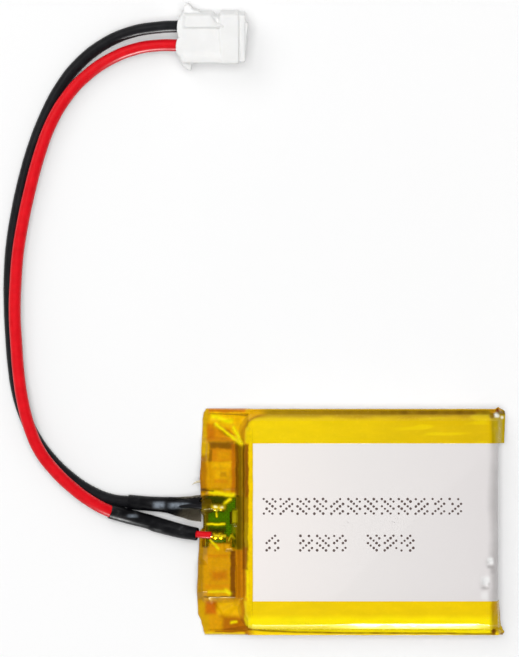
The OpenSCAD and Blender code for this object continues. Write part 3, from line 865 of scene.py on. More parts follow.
def upper_tape_shade(x, y):
    """Yellow, darker towards the plain end as a painted light falloff, with painted shade along the curve
    and in the hollow, paler patches towards the plain end and a duller loose end.
    """
    # painted light falloff: darker towards the plain end
    shade = blend(srgb(242, 208, 3), TAPE_FAR, smoothstep(-12, 17, x))
    # painted shade along the curve
    shade = blend(shade, TAPE_DULL_AND_SHADE, 0.9 * smoothstep(13.1, 13.7, y + 0.2 * wobble(x, y, 2, 1)))
    pale_patch = smoothstep(0.15, 0.5, wobble(x * 0.3, y * 1.6, 1.1, 9)) * smoothstep(2, 9, x)
    shade = blend(shade, TAPE_BRIGHT, 0.35 * pale_patch)
    shade = blend(shade, TAPE_LOOSE, 0.85 * smoothstep(17.5, 18.2, x))
    # painted shade in the hollow beside the seam, darker towards the plain end
    hollow = math.exp(-((y - 14.02) / 0.3) ** 4) * (0.75 + 0.25 * wobble(x, 0, 1.2, 1))
    hollow *= mix(0.5, 1.05, smoothstep(-12, 12, x))
    return blend(shade, TAPE_HOLLOW_SHADE, 0.95 * hollow)


def lower_tape_shade(x, y):
    """Yellow, with a painted highlight on the slope, a brown line of painted shade in the hollow and a
    gold edge.
    """
    shade = blend(TAPE_NEAR, TAPE_FAR, 0.35)
    # painted highlight on the slope that faces the light
    shade = blend(shade, TAPE_BRIGHT, smoothstep(11.6, 12.6, y + 0.15 * wobble(x, y, 3, 1)))
    shade = blend(shade, TAPE_DULL_AND_SHADE, 0.85 * smoothstep(17.5, 18.2, x))
    from_hollow = y - along(LOWER_HOLLOW, x)
    shade = blend(shade, srgb(255, 214, 8), smoothstep(0.1, 0.2, from_hollow))
    # painted shade in the hollow beside the seam
    hollow = math.exp(-(from_hollow / 0.14) ** 4) * (0.75 + 0.25 * wobble(x, 0, 1.2, -1))
    return blend(shade, srgb(116, 48, 2), 0.95 * hollow)


def edge_tape_shade(x, y, side):
    """The paint of an edge tape, painted highlights and shade included; y is the distance from the pack's
    middle.
    """
    shade = upper_tape_shade(x, y) if side > 0 else lower_tape_shade(x, y)
    # painted shade where the tape crosses the cup's rounded end
    line = math.exp(-((x - 17.95) / 0.12) ** 2) * (1 - smoothstep(12.5, 13.2, y))
    shade = blend(shade, TAPE_HOLLOW_SHADE, 0.3 * line)
    shade = corner_shade(x, y, side, shade)
    # painted glints and darker spots at the loose ends
    for spot_x, spot_y, size, tint in TIP_SPOTS[side]:
        away = ((x - spot_x) ** 2 + (y - spot_y) ** 2) / size ** 2
        shade = blend(shade, tint, math.exp(-away * away))
    return (*shade, 1.0)


def loose_end_height(x, y):
    """Where the two layers of a loose end are pinched together."""
    return 2.2 + 0.12 * wobble(x, y, 1.2, 7)


def gathered(station, reach):
    """Where a row of the tape lies, once its end follows the ragged tip."""
    if station < LOOSE_X:
        return station
    return mix(LOOSE_X, reach, (station - LOOSE_X) / (PACK_X1 - LOOSE_X))


def tape_top_point(x, y, side, reach):
    """A point of the tape's upper face; y is its distance from the pack's middle."""
    z = side_height(x, side * y, True) + 2 * FILM
    z += 0.03 * wobble(x * 0.5, y, 1.3, side) + 0.012 * wobble(x, y, 0.6, side)
    z = max(z, cup_height(x, y, 5.0) + 2.5 * FILM)
    z = mix(z, loose_end_height(x, y), smoothstep(CUP_X1 - 0.05, reach, x) ** 0.8)
    peak = 0.28 * math.exp(-((x - 18.7) / 0.3) ** 2) * smoothstep(13.6, 14.4, y)
    return (x, side * (y + (peak if side > 0 else 0)), z)


def tape_wrap(x, side, tip, pinch, shoulder):
    """A row's points down the pack's side and back underneath. Past the cup they are pinched up."""
    points = []
    for share in TAPE_SIDE_SHARES:
        wave = 0.03 * wobble(x, share * 4, 1.4, side + 3)
        points.append((x, side * (PACK_HALF - 0.02 + wave), mix(shoulder * share, 2.1, pinch)))
    points.append((x, side * (PACK_HALF - 0.12), mix(0.012, loose_end_height(x, 14.4) - 0.06, pinch)))
    for c in range(TAPE_UNDER_COLUMNS):
        y = mix(PACK_HALF - 0.35, TAPE_IN, c / (TAPE_UNDER_COLUMNS - 1))
        under_x = mix(x, min(x, along(tip, y)), pinch)
        lift = 0.01 * abs(wobble(x, y, 1.2, side + 9))
        points.append((under_x, side * y, mix(lift, loose_end_height(under_x, y) - 0.06, pinch)))
    return points


def edge_tape(name, side, tip):
    """A strip of tape over one long edge. side is 1 for the upper edge, -1 for the lower."""
    points = []
    shades = []
    for r in range(TAPE_ROWS):
        station = mix(CUP_X0 + 0.6, PACK_X1, r / (TAPE_ROWS - 1))
        for c in range(TAPE_TOP_COLUMNS):
            y = mix(TAPE_IN, 14.46, c / (TAPE_TOP_COLUMNS - 1))
            reach = along(tip, y)
            x = gathered(station, reach)
            points.append(tape_top_point(x, y, side, reach))
            shades.append(edge_tape_shade(x, y, side))
        reach = along(tip, 14.5)
        x = gathered(station, reach)
        wrap = tape_wrap(x, side, tip, smoothstep(CUP_X1 - 0.05, reach, x), points[-1][2])
        points += wrap
        shades += [(*TAPE_FAR, 1.0)] * len(wrap)
    faces = grid_faces(TAPE_ROWS, len(points) // TAPE_ROWS)
    if side > 0:
        faces = [face[::-1] for face in faces]
    piece = mesh_piece(name, points, faces, YELLOW)
    paint_points(piece, shades)
    return thicken(piece, FILM)


upper_tape = edge_tape("upper_edge_film", 1, TOP_TIP)
lower_tape = edge_tape("lower_edge_film", -1, BOTTOM_TIP)
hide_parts("upper_edge_tape")
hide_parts("lower_edge_tape")


# ---- Head tape over the board ----

LEFT_EDGE = [
    # y, x of the folded edge
    (-14.5, -18.95), (-13.9, -19.1), (-12.9, -19.35), (-11.7, -19.8), (-9.0, -19.9), (-6.0, -19.8),
    (-3.0, -19.65), (-1.2, -19.5), (-0.7, -19.1), (0.7, -19.1), (1.3, -19.45), (4.5, -19.45),
    (5.4, -19.55), (8.0, -19.4), (13.0, -19.2), (13.8, -19.1), (14.5, -18.8),
]

GOLD = srgb(222, 158, 4)
PALE = srgb(238, 182, 6)
# a painted highlight, for folds that catch the light
LIT = srgb(255, 234, 8)
ORANGE = srgb(216, 128, 8)
RUST = srgb(198, 104, 6)
TAN = srgb(176, 112, 6)
# a painted shadow, for gaps and drops under the film
UMBER_SHADOW = srgb(118, 70, 4)
OLIVE = srgb(118, 94, 3)
MOSS = srgb(64, 60, 4)
# how much of what lies under it the film covers
CLEAR = 0.1
HAZY = 0.55
SOLID = 0.96

HEAD_PATCHES = [
    # x from, x to, y from, y to, soft edge, shade, strength, and cover unless solid
    # the rolled fold along the lead side
    (-20.5, -18.5, 7.5, 15.0, 0.5, srgb(216, 172, 14), 0.9),
    (-20.5, -18.6, 3.9, 8.5, 0.5, TAN, 0.9),
    (-20.5, -18.6, -10.5, -2.6, 0.6, srgb(178, 130, 8), 0.9),
    (-20.5, -18.4, -15.0, -10.2, 0.5, srgb(214, 164, 6), 0.9),
    # upper corner, drawn tight over the fold
    (-18.3, -13.2, 10.6, 14.1, 0.35, srgb(248, 188, 5), 0.95),
    (-18.4, -11.0, 14.05, 15.0, 0.15, ORANGE, 0.95),
    (-18.6, -15.4, 10.3, 12.0, 0.5, ORANGE, 0.8),
    (-18.6, -17.7, 10.6, 12.6, 0.35, RUST, 0.7),
    # over the negative tab and its plate
    # painted shadow in the gap above the plate
    (-18.3, -15.2, 9.3, 10.2, 0.3, UMBER_SHADOW, 0.85),
    (-18.1, -15.4, 7.8, 9.4, 0.3, ORANGE, 0.75),
    (-17.4, -15.7, 8.0, 9.1, 0.45, GOLD, 0.7),
    # painted shadow along the plate's edge
    (-18.4, -18.0, 7.6, 9.3, 0.15, UMBER_SHADOW, 0.7),
    (-18.6, -15.3, 4.3, 7.7, 0.3, GOLD, 0.9),
    (-18.0, -15.5, 6.9, 7.6, 0.3, PALE, 0.8),
    (-17.6, -16.0, 5.6, 6.6, 0.35, PALE, 0.7),
    (-16.9, -16.1, 5.8, 6.4, 0.25, TAN, 0.6),
    (-17.6, -16.0, 5.0, 5.4, 0.25, ORANGE, 0.6),
    (-15.5, -14.95, 3.6, 10.0, 0.25, srgb(190, 106, 5), 0.9),
    # the drop beside the cup, upper half, mostly painted shadow where the film falls steeply to the board
    (-15.0, -14.5, 3.0, 10.2, 0.2, UMBER_SHADOW, 0.9),
    (-14.55, -14.05, -3.4, 9.8, 0.3, srgb(130, 102, 3), 0.95),
    (-14.05, -13.75, -3.6, 9.8, 0.25, srgb(84, 56, 2), 0.9),
    (-13.75, -13.3, 3.0, 9.9, 0.2, srgb(138, 78, 3), 0.9),
    (-13.75, -13.3, -3.6, 3.2, 0.15, srgb(160, 122, 3), 0.9),
    # the clear window, where one layer lies over the board
    (-19.2, -14.5, -3.2, 3.3, 0.3, MOSS, 1.0, CLEAR),
    # painted shadow by the black lead's end
    (-19.0, -16.3, 2.3, 3.3, 0.25, MOSS, 1.0, HAZY),
    (-18.3, -16.2, -1.2, -0.7, 0.2, MOSS, 1.0, HAZY),
    (-20.5, -18.5, -1.0, 2.2, 0.4, srgb(124, 104, 8), 0.9, HAZY),
    (-15.4, -14.6, -1.6, 1.6, 0.35, srgb(150, 150, 4), 0.8, HAZY),
    (-15.0, -14.05, -3.6, 3.2, 0.25, OLIVE, 0.9),
    (-19.6, -18.0, 1.2, 2.9, 0.2, srgb(98, 76, 2), 0.95, 0.86),
    (-19.6, -18.8, 0.9, 1.9, 0.3, srgb(140, 118, 14), 0.9, 0.8),
    # over the positive tab and its plate
    (-18.4, -15.6, -4.2, -2.7, 0.35, GOLD, 0.95),
    (-17.9, -16.9, -3.3, -2.8, 0.25, ORANGE, 0.6),
    (-19.1, -15.7, -9.5, -4.2, 0.3, srgb(220, 156, 5), 0.95),
    (-18.0, -16.1, -7.4, -6.3, 0.55, srgb(202, 116, 5), 0.9),
    (-18.9, -15.7, -8.5, -8.0, 0.3, ORANGE, 0.5),
    (-18.6, -16.0, -4.6, -4.1, 0.25, ORANGE, 0.5),
    # painted shadow in the gap beside the plate
    (-15.65, -14.95, -10.0, -3.7, 0.2, srgb(124, 66, 4), 0.95),
    (-14.95, -13.6, -10.2, -3.6, 0.25, srgb(200, 122, 6), 0.95),
    # painted shadow beside the cup
    (-14.1, -13.35, -6.0, -3.2, 0.25, srgb(150, 84, 4), 0.85),
    (-15.4, -14.75, -0.1, 1.4, 0.15, srgb(176, 162, 8), 0.9),
    # lower corner
    (-19.0, -13.4, -10.5, -9.75, 0.25, srgb(226, 162, 4), 0.9),
    (-17.4, -14.0, -12.0, -10.2, 0.5, srgb(248, 190, 5), 0.9),
    (-18.8, -17.5, -11.9, -10.2, 0.4, srgb(206, 100, 5), 0.9),
    (-18.2, -16.4, -13.6, -11.9, 0.5, srgb(224, 156, 6), 0.9),
    (-16.6, -13.4, -14.1, -12.3, 0.45, srgb(178, 98, 5), 0.9),
    (-20.0, -11.0, -15.0, -14.15, 0.1, srgb(246, 206, 12), 0.95),
    # the lap over the cup
    (-13.28, -12.0, -10.4, 10.6, 0.1, srgb(246, 206, 4), 1.0),
]
HEAD_LINES = [
    # from, to, half width, shade, strength: painted highlights where folds and the solder beads catch the
    # light, and dark joints
    ((-16.3, 11.75), (-15.2, 11.0), 0.24, srgb(206, 112, 6), 0.9),
    ((-17.5, 12.5), (-14.4, 10.1), 0.22, LIT, 1.0),
    ((-15.2, 12.0), (-14.2, 10.1), 0.26, LIT, 1.0),
    ((-17.9, 13.5), (-15.6, 12.9), 0.36, LIT, 0.95),
    ((-18.1, 3.8), (-15.3, 3.4), 0.3, LIT, 1.0),
    ((-16.3, 2.35), (-15.7, 2.9), 0.26, LIT, 1.0),
    ((-17.8, 1.9), (-17.35, 1.9), 0.3, srgb(255, 220, 24), 1.0),
    ((-16.9, 1.85), (-16.45, 1.85), 0.3, srgb(255, 220, 24), 1.0),
    ((-17.7, 2.0), (-17.45, 2.0), 0.13, (1.0, 0.95, 0.6), 1.0),
    ((-16.8, 1.95), (-16.65, 1.95), 0.11, (1.0, 0.95, 0.6), 1.0),
    ((-17.35, 1.45), (-17.35, 0.7), 0.15, LIT, 1.0),
    ((-18.5, -0.3), (-16.4, -0.28), 0.19, LIT, 1.0),
    ((-17.6, -1.75), (-17.2, -1.75), 0.24, srgb(255, 222, 30), 1.0),
    ((-16.8, -1.85), (-16.4, -1.85), 0.24, srgb(255, 222, 30), 1.0),
    ((-18.2, -2.3), (-17.2, -3.4), 0.2, LIT, 0.9),
    ((-15.4, -1.6), (-15.0, -3.4), 0.14, srgb(150, 128, 4), 0.8),
    ((-15.85, -2.4), (-15.55, -1.8), 0.13, srgb(206, 184, 8), 0.95),
    ((-15.55, -1.8), (-15.1, -2.1), 0.13, srgb(206, 184, 8), 0.95),
    ((-18.4, -8.9), (-15.8, -9.0), 0.18, LIT, 0.75),
    ((-16.2, -8.7), (-15.7, -9.2), 0.24, LIT, 0.8),
    ((-19.0, -9.6), (-15.6, -9.62), 0.08, srgb(78, 58, 2), 0.9),
    ((-15.5, -13.0), (-14.9, -12.9), 0.16, LIT, 1.0),
    ((-19.7, 4.1), (-17.9, 4.0), 0.12, srgb(92, 58, 3), 0.8),
    ((-13.4, -14.0), (-17.5, -14.05), 0.09, srgb(150, 86, 4), 0.8),
]


def away_from_line(x, y, start, end):
    """Distance from a point to a straight line between two others, and how far along it is."""
    dx, dy = end[0] - start[0], end[1] - start[1]
    t = min(max(((x - start[0]) * dx + (y - start[1]) * dy) / (dx * dx + dy * dy), 0), 1)
    return math.hypot(x - start[0] - t * dx, y - start[1] - t * dy), t


def patched(x, y, shade):
    """The shade and cover once every patch is laid down."""
    cover = SOLID
    for x0, x1, y0, y1, soft, tint, strength, *thin in HEAD_PATCHES:
        inside = min(x - x0, x1 - x, y - y0, y1 - y)
        amount = smoothstep(-0.8 * soft, 0.8 * soft, inside) * strength
        if amount > 0:
            shade = blend(shade, tint, amount)
            cover = mix(cover, thin[0] if thin else SOLID, amount)
    return shade, cover


def lined(x, y, shade, cover):
    """The shade and cover once every line is drawn over the patches."""
    for start, end, half, tint, strength in HEAD_LINES:
        amount = strength * math.exp(-(away_from_line(x, y, start, end)[0] / half) ** 2)
        if amount > 0.01:
            shade = blend(shade, tint, amount)
            cover = mix(cover, SOLID, amount)
    return shade, cover


def head_shade(x, y):
    """The film's colour and cover over the board, from the patches and lines above with their painted
    highlights and shadows, and painted shade along the cup's outline.
    """
    grain = 1 + 0.1 * wobble(x, y, 0.45, 25) + 0.09 * wobble(x, y, 1.3, 26) + 0.06 * wobble(x, y, 0.2, 27)
    x += 0.12 * wobble(x, y, 1.2, 21) + 0.05 * wobble(x, y, 0.35, 22)
    y += 0.12 * wobble(x, y, 1.2, 23) + 0.05 * wobble(x, y, 0.35, 24)
    depth = inside_cup(x, y)
    on_cup = srgb(255, 226, 4) if y < 0 else GOLD
    shade, cover = patched(x, y, blend(GOLD, on_cup, smoothstep(0.0, 0.5, depth)))
    # painted shade along the cup's outline, where the film falls away
    if abs(y) > 10 and x > -14.5:
        rim = srgb(206, 134, 4) if y > 0 else srgb(212, 132, 6)
        shade = blend(shade, rim, 0.85 * math.exp(-((depth + 0.1) / 0.3) ** 2))
    shade, cover = lined(x, y, shade, cover)
    lap = CUP_X0 + (0.1 if y > 0 else 0.0)
    over_tape = smoothstep(lap, lap + 0.35, x) * smoothstep(9.9, 10.3, abs(y))
    shade = blend(shade, edge_tape_shade(x, abs(y), 1 if y > 0 else -1)[:3], over_tape)
    return (*(min(max(0.97 * v * grain, 0.0), 0.98) for v in shade), cover)


def in_lead_slot(point):
    """True where the film is cut away round a short lead."""
    x, y, z = point
    red = x < -17.9 and abs(y + 1.68) < 0.5 - 0.2 * smoothstep(-18.6, -17.9, x)
    black = x < -19.25 and abs(y - 2.05) < 0.55
    return z > 1.7 and (red or black)


HEAD_ROWS = 360
HEAD_WALL_ROWS = 6  # rows that close the film at each side of the pack
DECK_COLUMNS = 90
FOLD_R = 0.5  # how far the fold at the lead side curls over
FOLD_DROP = 0.6
FOLD_COLUMNS = 8
FLAP_COLUMNS = 11
LOWEST = 0.05


def deck_point(x, y, raised):
    """A point of the film over the board. raised falls from 1 to 0 down the wall at each side."""
    z = soft_max([deck_height(x, y), side_height(x, y, False)], 14) + FILM * 3
    loose = smoothstep(CUP_X0 + 0.4, CUP_X0 - 0.8, x)
    z += loose * (crease_height(x, y) + 0.04 * wobble(x, y, 0.9, 4) + 0.02 * wobble(x, y, 0.4, 6))
    wall = mix(raised, 1, smoothstep(CUP_X0 + 0.3, CUP_X0 + 0.7, x))
    return (x, y, mix(LOWEST, mix(z, z * 0.6, smoothstep(14.3, 14.5, abs(y))), wall))


def head_row(y, raised):
    """One row along the pack: from the lap on the cup over the board, round the fold and underneath."""
    edge = along(LEFT_EDGE, y)
    lap = CUP_X0 + 1.25 + 0.05 * wobble(0, y, 3)
    end = edge + FOLD_R
    row = [deck_point(mix(lap, end, c / (DECK_COLUMNS - 1)), y, raised) for c in range(DECK_COLUMNS)]
    z_end = row[-1][2]
    for n in range(1, FOLD_COLUMNS + 1):
        a = n / FOLD_COLUMNS * math.pi / 2
        row.append((end - FOLD_R * math.sin(a), y, max(z_end - FOLD_DROP * (1 - math.cos(a)), LOWEST)))
    shades = [head_shade(x, y) for x, y, z in row]
    for n in range(1, FOLD_COLUMNS + 1):
        z = max(mix(z_end - FOLD_DROP, 0.25 * raised, n / FOLD_COLUMNS), LOWEST)
        row.append((edge + 0.06 * wobble(y, z, 1.2, 8), y, z))
    flap_end = mix(-15.0, CUP_X0 + 0.6, smoothstep(13.3, 13.8, abs(y)))
    for n in range(1, FLAP_COLUMNS + 1):
        row.append((mix(edge + 0.2, flap_end, n / FLAP_COLUMNS), y, 0.03 + 0.01 * abs(wobble(n, y, 1.0))))
    shades += [(*head_shade(edge, y)[:3], SOLID)] * (len(row) - len(shades))
    return row, shades


def head_tape():
    """The amber film over the board end."""
    stations = [(-PACK_HALF, n / HEAD_WALL_ROWS) for n in range(HEAD_WALL_ROWS)]
    stations += [(mix(-PACK_HALF, PACK_HALF, r / (HEAD_ROWS - 1)), 1.0) for r in range(HEAD_ROWS)]
    stations += [(PACK_HALF, 1 - n / HEAD_WALL_ROWS) for n in range(1, HEAD_WALL_ROWS + 1)]
    points = []
    shades = []
    for y, raised in stations:
        row, row_shades = head_row(y, raised)
        points += row
        shades += row_shades
    grid = grid_faces(len(stations), len(row))
    piece = mesh_piece("head_film", points, [f for f in grid if not in_lead_slot(points[f[0]])], AMBER)
    paint_points(piece, shades)
    return thicken(piece, FILM, offset=0.0)


head = head_tape()


def glue_sliver():
    """A dried thread of glue standing out from the fold by the black lead."""
    look = plain_look("dried_glue", srgb(196, 182, 146), srgb(226, 216, 188), 0.5, 4)
    spine = [(-19.3, 5.2, 2.3, 0.2), (-19.8, 5.15, 2.35, 0.16), (-20.25, 4.98, 2.3, 0.11),
             (-20.6, 4.74, 2.2, 0.03)]
    rings, sides = 24, 12
    points = []
    for x, y, z, r in smooth_line(spine, rings):
        for k in range(sides):
            a = 2 * math.pi * k / sides
            points.append((x + 0.02 * math.cos(a), y + r * math.cos(a), z + 0.6 * r * math.sin(a)))
    faces = grid_faces(rings, sides, ring=True)
    faces += [tuple(range(sides)), tuple(range(len(points) - 1, len(points) - sides - 1, -1))]
    return mesh_piece("glue_sliver", points, faces, look)


sliver = glue_sliver()
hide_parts("head_tape")


# ---- Plug ----

PLUG_ORIGIN = Vector((-22.4, 62.3, 3.05))
PLUG_ROLL = math.radians(9)
PLUG_SIZE = Vector((8.7, 6.2, 5.2))
PITCH = 2.4


def plug_place(x, y, z):
    """A point of the plug's own frame, in the row frame."""
    c, s = math.cos(PLUG_ROLL), math.sin(PLUG_ROLL)
    return (PLUG_ORIGIN.x + x, PLUG_ORIGIN.y + y * c - z * s, PLUG_ORIGIN.z + y * s + z * c)


PLUG_SIDES = 260
RAIL_HEIGHT = 0.55
REAR_ROUND = 0.9  # length over which the rear end is rounded off
LIP_ROUND = 0.25
LIP_START = 7.75
NOTCH_X = 5.2
REAR_ARC = 0.3


def rail_rise(x, y):
    """Height of the two rails, and of the collar in front of them, above the plug's top."""
    start = smoothstep(0.5, 1.1, x)
    outer = mix(2.98, 1.5, smoothstep(4.1, 6.2, x))
    upper = start * smoothstep(1.1, 1.62, y) * (1 - smoothstep(outer - 0.1, outer + 0.12, y))
    upper *= 1 - smoothstep(5.7, 6.3, x)
    lower = start * smoothstep(1.6, 2.3, -y) * (1 - smoothstep(2.85, 3.05, -y))
    lower *= 1 - smoothstep(5.4, 6.6, x)
    collar = 0.3 * smoothstep(5.1, 5.5, x - 0.25 * smoothstep(-1.0, 1.5, -y))
    collar *= 1 - 0.7 * smoothstep(LIP_START, LIP_START + 0.2, x)
    return max(RAIL_HEIGHT * max(upper, 0.4 * lower), collar)


def rounding(reach, length):
    """How far a rounded end has drawn in at a distance from it, from 0 to 1."""
    return 1 - math.sqrt(max(0.0, 1 - max(0.0, 1 - reach / length) ** 2))


def rounded_box_point(angle, half_y, half_z, corner=0.45):
    c, s = math.cos(angle), math.sin(angle)
    reach = 1 / max(abs(c) / half_y, abs(s) / half_z)
    y, z = reach * c, reach * s
    past_y, past_z = abs(y) - (half_y - corner), abs(z) - (half_z - corner)
    if past_y > 0 and past_z > 0:
        scale = corner / math.hypot(past_y, past_z)
        y = math.copysign(half_y - corner + past_y * scale, y)
        z = math.copysign(half_z - corner + past_z * scale, z)
    return y, z


def plug_section(x):
    """The plug's outline at one place along it, in its own Y and Z."""
    rear = rounding(x, REAR_ROUND)
    lip_round = 0.2 * rounding(PLUG_SIZE.x - x, LIP_ROUND)
    step = 0.14 * smoothstep(LIP_START, LIP_START + 0.15, x)
    half_y = PLUG_SIZE.y / 2 - 0.8 * rear - lip_round - step
    half_z = PLUG_SIZE.z / 2 - 0.35 * rear - lip_round - step
    notch_depth = math.exp(-((x - NOTCH_X) / (0.6 if x < NOTCH_X else 0.2)) ** 2)
    outline = []
    for k in range(PLUG_SIDES):
        y, z = rounded_box_point(2 * math.pi * k / PLUG_SIDES, half_y, half_z)
        if z > 0:
            z += rail_rise(x, y) * smoothstep(half_z - 0.5, half_z - 0.1, z)
        if y < 0:
            y *= 1.07
        notch = notch_depth * smoothstep(1.4, 2.8, y)
        y -= 0.55 * notch
        z -= 0.45 * notch * smoothstep(0.6, 1.8, z)
        outline.append((y, z))
    return outline


def rear_bulge(x, y):
    """The rear end swells round each lead."""
    from_lead = min((abs(y) - PITCH / 2) / 1.22, 1.0)
    round_lead = math.sqrt(max(0.0, 1 - from_lead ** 2))
    swell = REAR_ARC if y > 0 else 1.5 * REAR_ARC
    return (0.25 - swell * round_lead) * (1 - smoothstep(0.0, 1.3, x))


UPPER_EAR = [(0.8, 2.75), (0.8, 3.3), (0.84, 3.72), (1.0, 4.02), (1.28, 4.16), (1.56, 4.06),
             (1.76, 3.8), (1.98, 3.55), (2.35, 3.38), (2.85, 3.22), (3.1, 2.75)]
LOWER_FIN = [(-0.05, -1.9), (0.1, -2.6), (0.35, -3.2), (0.7, -3.75), (1.15, -4.15), (1.6, -4.34),
             (1.76, -4.3), (1.78, -3.9), (1.78, -3.3), (1.9, -2.9), (2.4, -2.6), (2.0, -1.9)]
FRONT_LIP = [(8.4, -2.1), (8.6, -2.0), (8.72, -1.8), (8.8, -1.2), (8.88, -0.3), (8.95, 0.5), (9.0, 1.2),
             (9.03, 1.7), (8.97, 1.92), (8.7, 2.02), (8.4, 2.0), (8.3, 1.2), (8.3, 0.4), (8.3, -0.8)]
FIN_SIDES = 72


def fin(outline, low, high):
    """A thin upright wing moulded on the plug's side; its outline is seen from above."""
    levels = [(low, 0.12), (low + 0.06, 0.03), (low + 0.15, 0.0), (high - 0.3, 0.0),
              (high - 0.12, 0.05), (high - 0.03, 0.14), (high, 0.26)]
    middle = Vector((sum(x for x, y in outline), sum(y for x, y in outline))) / len(outline)
    smooth = smooth_line(outline + outline[:1], FIN_SIDES + 1)[:-1]
    points = []
    for z, inset in levels:
        for x, y in smooth:
            inward = (middle - Vector((x, y))).normalized() * inset
            points.append(plug_place(x + inward.x, y + inward.y, z))
    return mesh_piece("fin", points, capped_faces(len(levels), FIN_SIDES), NYLON)


def box_cutter(x0, x1, y, half):
    """A square bar along the plug, to cut one contact's cavity with."""
    corners = [(x, y + j * half, k * half) for x in (x0, x1) for j in (-1, 1) for k in (-1, 1)]
    faces = [(0, 1, 3, 2), (4, 6, 7, 5), (0, 4, 5, 1), (2, 3, 7, 6), (0, 2, 6, 4), (1, 5, 7, 3)]
    return mesh_piece("cutter", [plug_place(*p) for p in corners], faces, NYLON)


def cut(piece, cutters):
    """Takes the cutters out of a piece."""
    for cutter in cutters:
        modifier = piece.modifiers.new("cut", "BOOLEAN")
        modifier.object = cutter
        modifier.operation = "DIFFERENCE"
        modifier.solver = "EXACT"
    bpy.context.view_layer.update()
    graph = bpy.context.evaluated_depsgraph_get()
    mesh = bpy.data.meshes.new_from_object(piece.evaluated_get(graph))
    piece.modifiers.clear()
    piece.data = mesh
    for cutter in cutters:
        bpy.data.objects.remove(cutter)


def make_plug():
    """The housing, closer in section towards both ends, with its cavities, ear, fin and front lip."""
    stations = [REAR_ROUND * (n / 24) ** 1.6 for n in range(24)]
    stations += [mix(REAR_ROUND, PLUG_SIZE.x - LIP_ROUND, n / 96) for n in range(96)]
    stations += [PLUG_SIZE.x - LIP_ROUND * (1 - n / 10) ** 1.6 for n in range(11)]
    points = []
    for x in stations:
        points += [plug_place(x + rear_bulge(x, y), y, z) for y, z in plug_section(x)]
    body = mesh_piece("plug_body", points, capped_faces(len(stations), PLUG_SIDES), NYLON)
    cutters = []
    for y in (-PITCH / 2, PITCH / 2):
        cutters.append(box_cutter(-1, PLUG_SIZE.x - 0.6, y, 0.95))
        cutters.append(box_cutter(PLUG_SIZE.x - 1, PLUG_SIZE.x + 1, y, 0.55))
    cut(body, cutters)
    lip = fin(FRONT_LIP, 0.6, 2.45)
    return join("plug_body", [body, fin(UPPER_EAR[::-1], -1.6, 1.2), fin(LOWER_FIN, -1.6, 1.4), lip])


plug = make_plug()
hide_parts("plug_housing")


# ---- CAD nodes that keep their shape ----

SEAL = plain_look("seal_film", (0.7, 0.7, 0.67), (0.84, 0.84, 0.81), 0.4)
CHIP = plain_look("chip_epoxy", (0.012, 0.012, 0.014), (0.03, 0.03, 0.034), 0.5, 6)
SEPARATOR = plain_look("separator_film", (0.8, 0.8, 0.78), (0.9, 0.9, 0.88), 0.45, 4)
KEPT = [
    (FOIL, "pouch_back"),
    (SEAL, "top_seal positive_tab_seal negative_tab_seal"),
    (plain_look("graphite_coat", (0.012, 0.012, 0.014), (0.04, 0.04, 0.044), 0.65, 8), "anode_sheet"),
    (plain_look("oxide_coat", (0.008, 0.008, 0.008), (0.025, 0.024, 0.024), 0.7, 8), "cathode_sheet"),
    (SEPARATOR, "inner_separator outer_separator"),
    (plain_look("green_film", (0.02, 0.2, 0.09), (0.04, 0.28, 0.13), 0.25), "winding_end_tape"),
    (plain_look("barley_paper", (0.2, 0.17, 0.05), (0.32, 0.28, 0.1), 0.7, 5), "insulation_sheet"),
    (metal_look("gold_pad", (0.7, 0.45, 0.12), (0.95, 0.7, 0.3), 0.2), "lead_pads"),
    (CHIP, "protection_chip switch_chip sense_resistor bias_resistors"),
    (plain_look("tan_ceramic", (0.3, 0.18, 0.08), (0.45, 0.29, 0.15), 0.4, 5), "filter_capacitor"),
    (BOARD, "circuit_board"),
    (NICKEL, "negative_tab negative_weld_plate positive_weld_plate"),
    (metal_look("aluminium_tab", (0.68, 0.68, 0.69), (0.86, 0.86, 0.87), 0.3, (0.1, 1, 1)),
     "positive_tab"),
    (SOLDER, "black_solder red_solder black_splice red_splice"),
    (TIN, "black_contact red_contact"),
    (COPPER, "black_strands red_strands black_short_strands red_short_strands"),
]
for material, nodes in KEPT:
    for node in nodes.split():
        mesh = NODES[node].data
        mesh.materials.clear()
        mesh.materials.append(material)


# ---- Printed code: plain ticks of ink dots, with no letters or figures ----

PRINT_ROWS = [(-11.35, 2.05, 12, ()), (-11.0, -2.65, 9, (1, 5))]  # x, y, cells, empty cells
CELL_STEP = 2.16
DOT_STEP = (0.37, 0.31)


def printed_ticks():
    """Two rows of slanted hatching, as wide as the print they stand for."""
    look = plain_look("ink", srgb(74, 58, 54), srgb(108, 92, 88), 0.6, 6)
    points = []
    faces = []
    for x0, y_middle, cells, gaps in PRINT_ROWS:
        for cell in range(cells):
            if cell in gaps:
                continue
            slant = dice.choice((1, -1))
            for column in range(5):
                for level in range(7):
                    if (column + slant * level) % 3 or dice.random() < 0.06:
                        continue
                    x = x0 + cell * CELL_STEP + column * DOT_STEP[0] + dice.uniform(-0.02, 0.02)
                    y = y_middle + (level - 3) * DOT_STEP[1] + dice.uniform(-0.02, 0.02)
                    z = CUP_TOP + pouch_height_change(x, y) + 0.006
                    r = dice.uniform(0.145, 0.19)
                    first = len(points)
                    for k in range(10):
                        a = 2 * math.pi * k / 10
                        points.append((x + r * math.cos(a), y + r * math.sin(a), z))
                    faces.append(tuple(range(first, first + 10)))
    return mesh_piece("printed_ticks", points, faces, look)


ticks = printed_ticks()


# ---- Every piece rides on the root ----

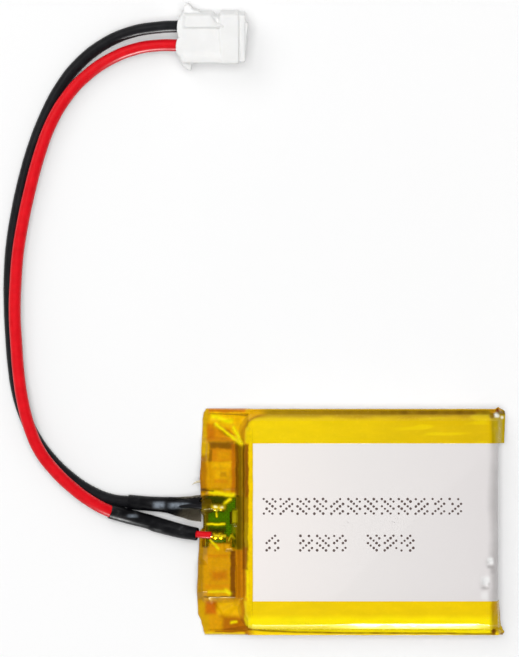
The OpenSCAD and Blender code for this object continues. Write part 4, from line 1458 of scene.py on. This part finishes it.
SLOTS = {
    black_lead: "black_insulation", red_lead: "red_insulation",
    black_short: "black_insulation", red_short: "red_insulation",
    black_sleeve: "sleeve_black", red_sleeve: "sleeve_black",
    pouch: "pouch_foil", terrace: "pouch_foil", ticks: "chip_black",
    upper_tape: "yellow_tape", lower_tape: "yellow_tape", head: "amber_tape",
    plug: "plug_nylon", sliver: "amber_tape",
}
for piece, slot_name in SLOTS.items():
    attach(piece, "root")


# ---- Floor, world and lights ----

def make_floor():
    """White paper under everything; it isn't part of the product."""
    look = Look("paper_floor", (0.97, 0.97, 0.97), 0.9)
    look.bump(look.noise(0.8, 3), 0.02, 0.01)
    half = 900.0
    corners = [(x * half, y * half, -0.02) for x, y in ((-1, -1), (1, -1), (1, 1), (-1, 1))]
    floor = mesh_piece("floor", corners, [(0, 1, 2, 3)], look.material)


WORLD_LEVEL = 0.36
WORLD_TILT = (-0.1, 0.06, 0.0)


def make_world():
    """Bright all round, a little brighter towards the far left, with a darker patch overhead."""
    world = bpy.data.worlds.new("studio")
    bpy.context.scene.world = world
    world.use_nodes = True
    tree = world.node_tree
    way = tree.nodes.new("ShaderNodeTexCoord").outputs["Generated"]
    tilt = add_math(tree, "DOT_PRODUCT", way, WORLD_TILT, kind="ShaderNodeVectorMath")
    level = add_math(tree, "ADD", tilt, WORLD_LEVEL)
    up = add_node(tree, "ShaderNodeSeparateXYZ", Vector=way).outputs["Z"]
    patch = add_node(tree, "ShaderNodeMapRange", Value=up, From_Min=0.9, From_Max=0.98, To_Min=1.0,
                     To_Max=0.6)
    patch.interpolation_type = "SMOOTHSTEP"
    background = tree.nodes["Background"]
    background.inputs["Color"].default_value = (1.0, 1.0, 1.0, 1.0)
    put(tree, add_math(tree, "MULTIPLY", level, patch.outputs["Result"]), background.inputs["Strength"])


def area_light(name, place, size, power, target=(-0.01, 0.02, 0), lights="both"):
    """A soft box. lights says what it adds: "both", only the "matt" light or only the "gloss"."""
    light = bpy.data.lights.new(name, "AREA")
    light.shape = "RECTANGLE"
    light.size, light.size_y = size
    light.energy = power
    lamp = bpy.data.objects.new(name, light)
    lamp.location = place
    lamp.visible_diffuse = lights != "gloss"
    lamp.visible_glossy = lights != "matt"
    lamp.rotation_euler = (Vector(target) - Vector(place)).to_track_quat("-Z", "Y").to_euler()
    bpy.context.scene.collection.objects.link(lamp)


make_floor()
make_world()
area_light("fill", (-0.01, 0.02, 1.2), (0.6, 0.6), 8.4, lights="matt")
area_light("key", (-0.25, 0.28, 0.45), (0.35, 0.35), 0.6)
area_light("near_strip", (0.04, -0.6, 0.055), (0.26, 0.08), 11.0, lights="gloss")
for piece in (upper_tape, lower_tape, head, red_lead):
    piece.visible_diffuse = False  # keeps their colour off the white paper
bpy.context.scene.view_settings.view_transform = "Standard"
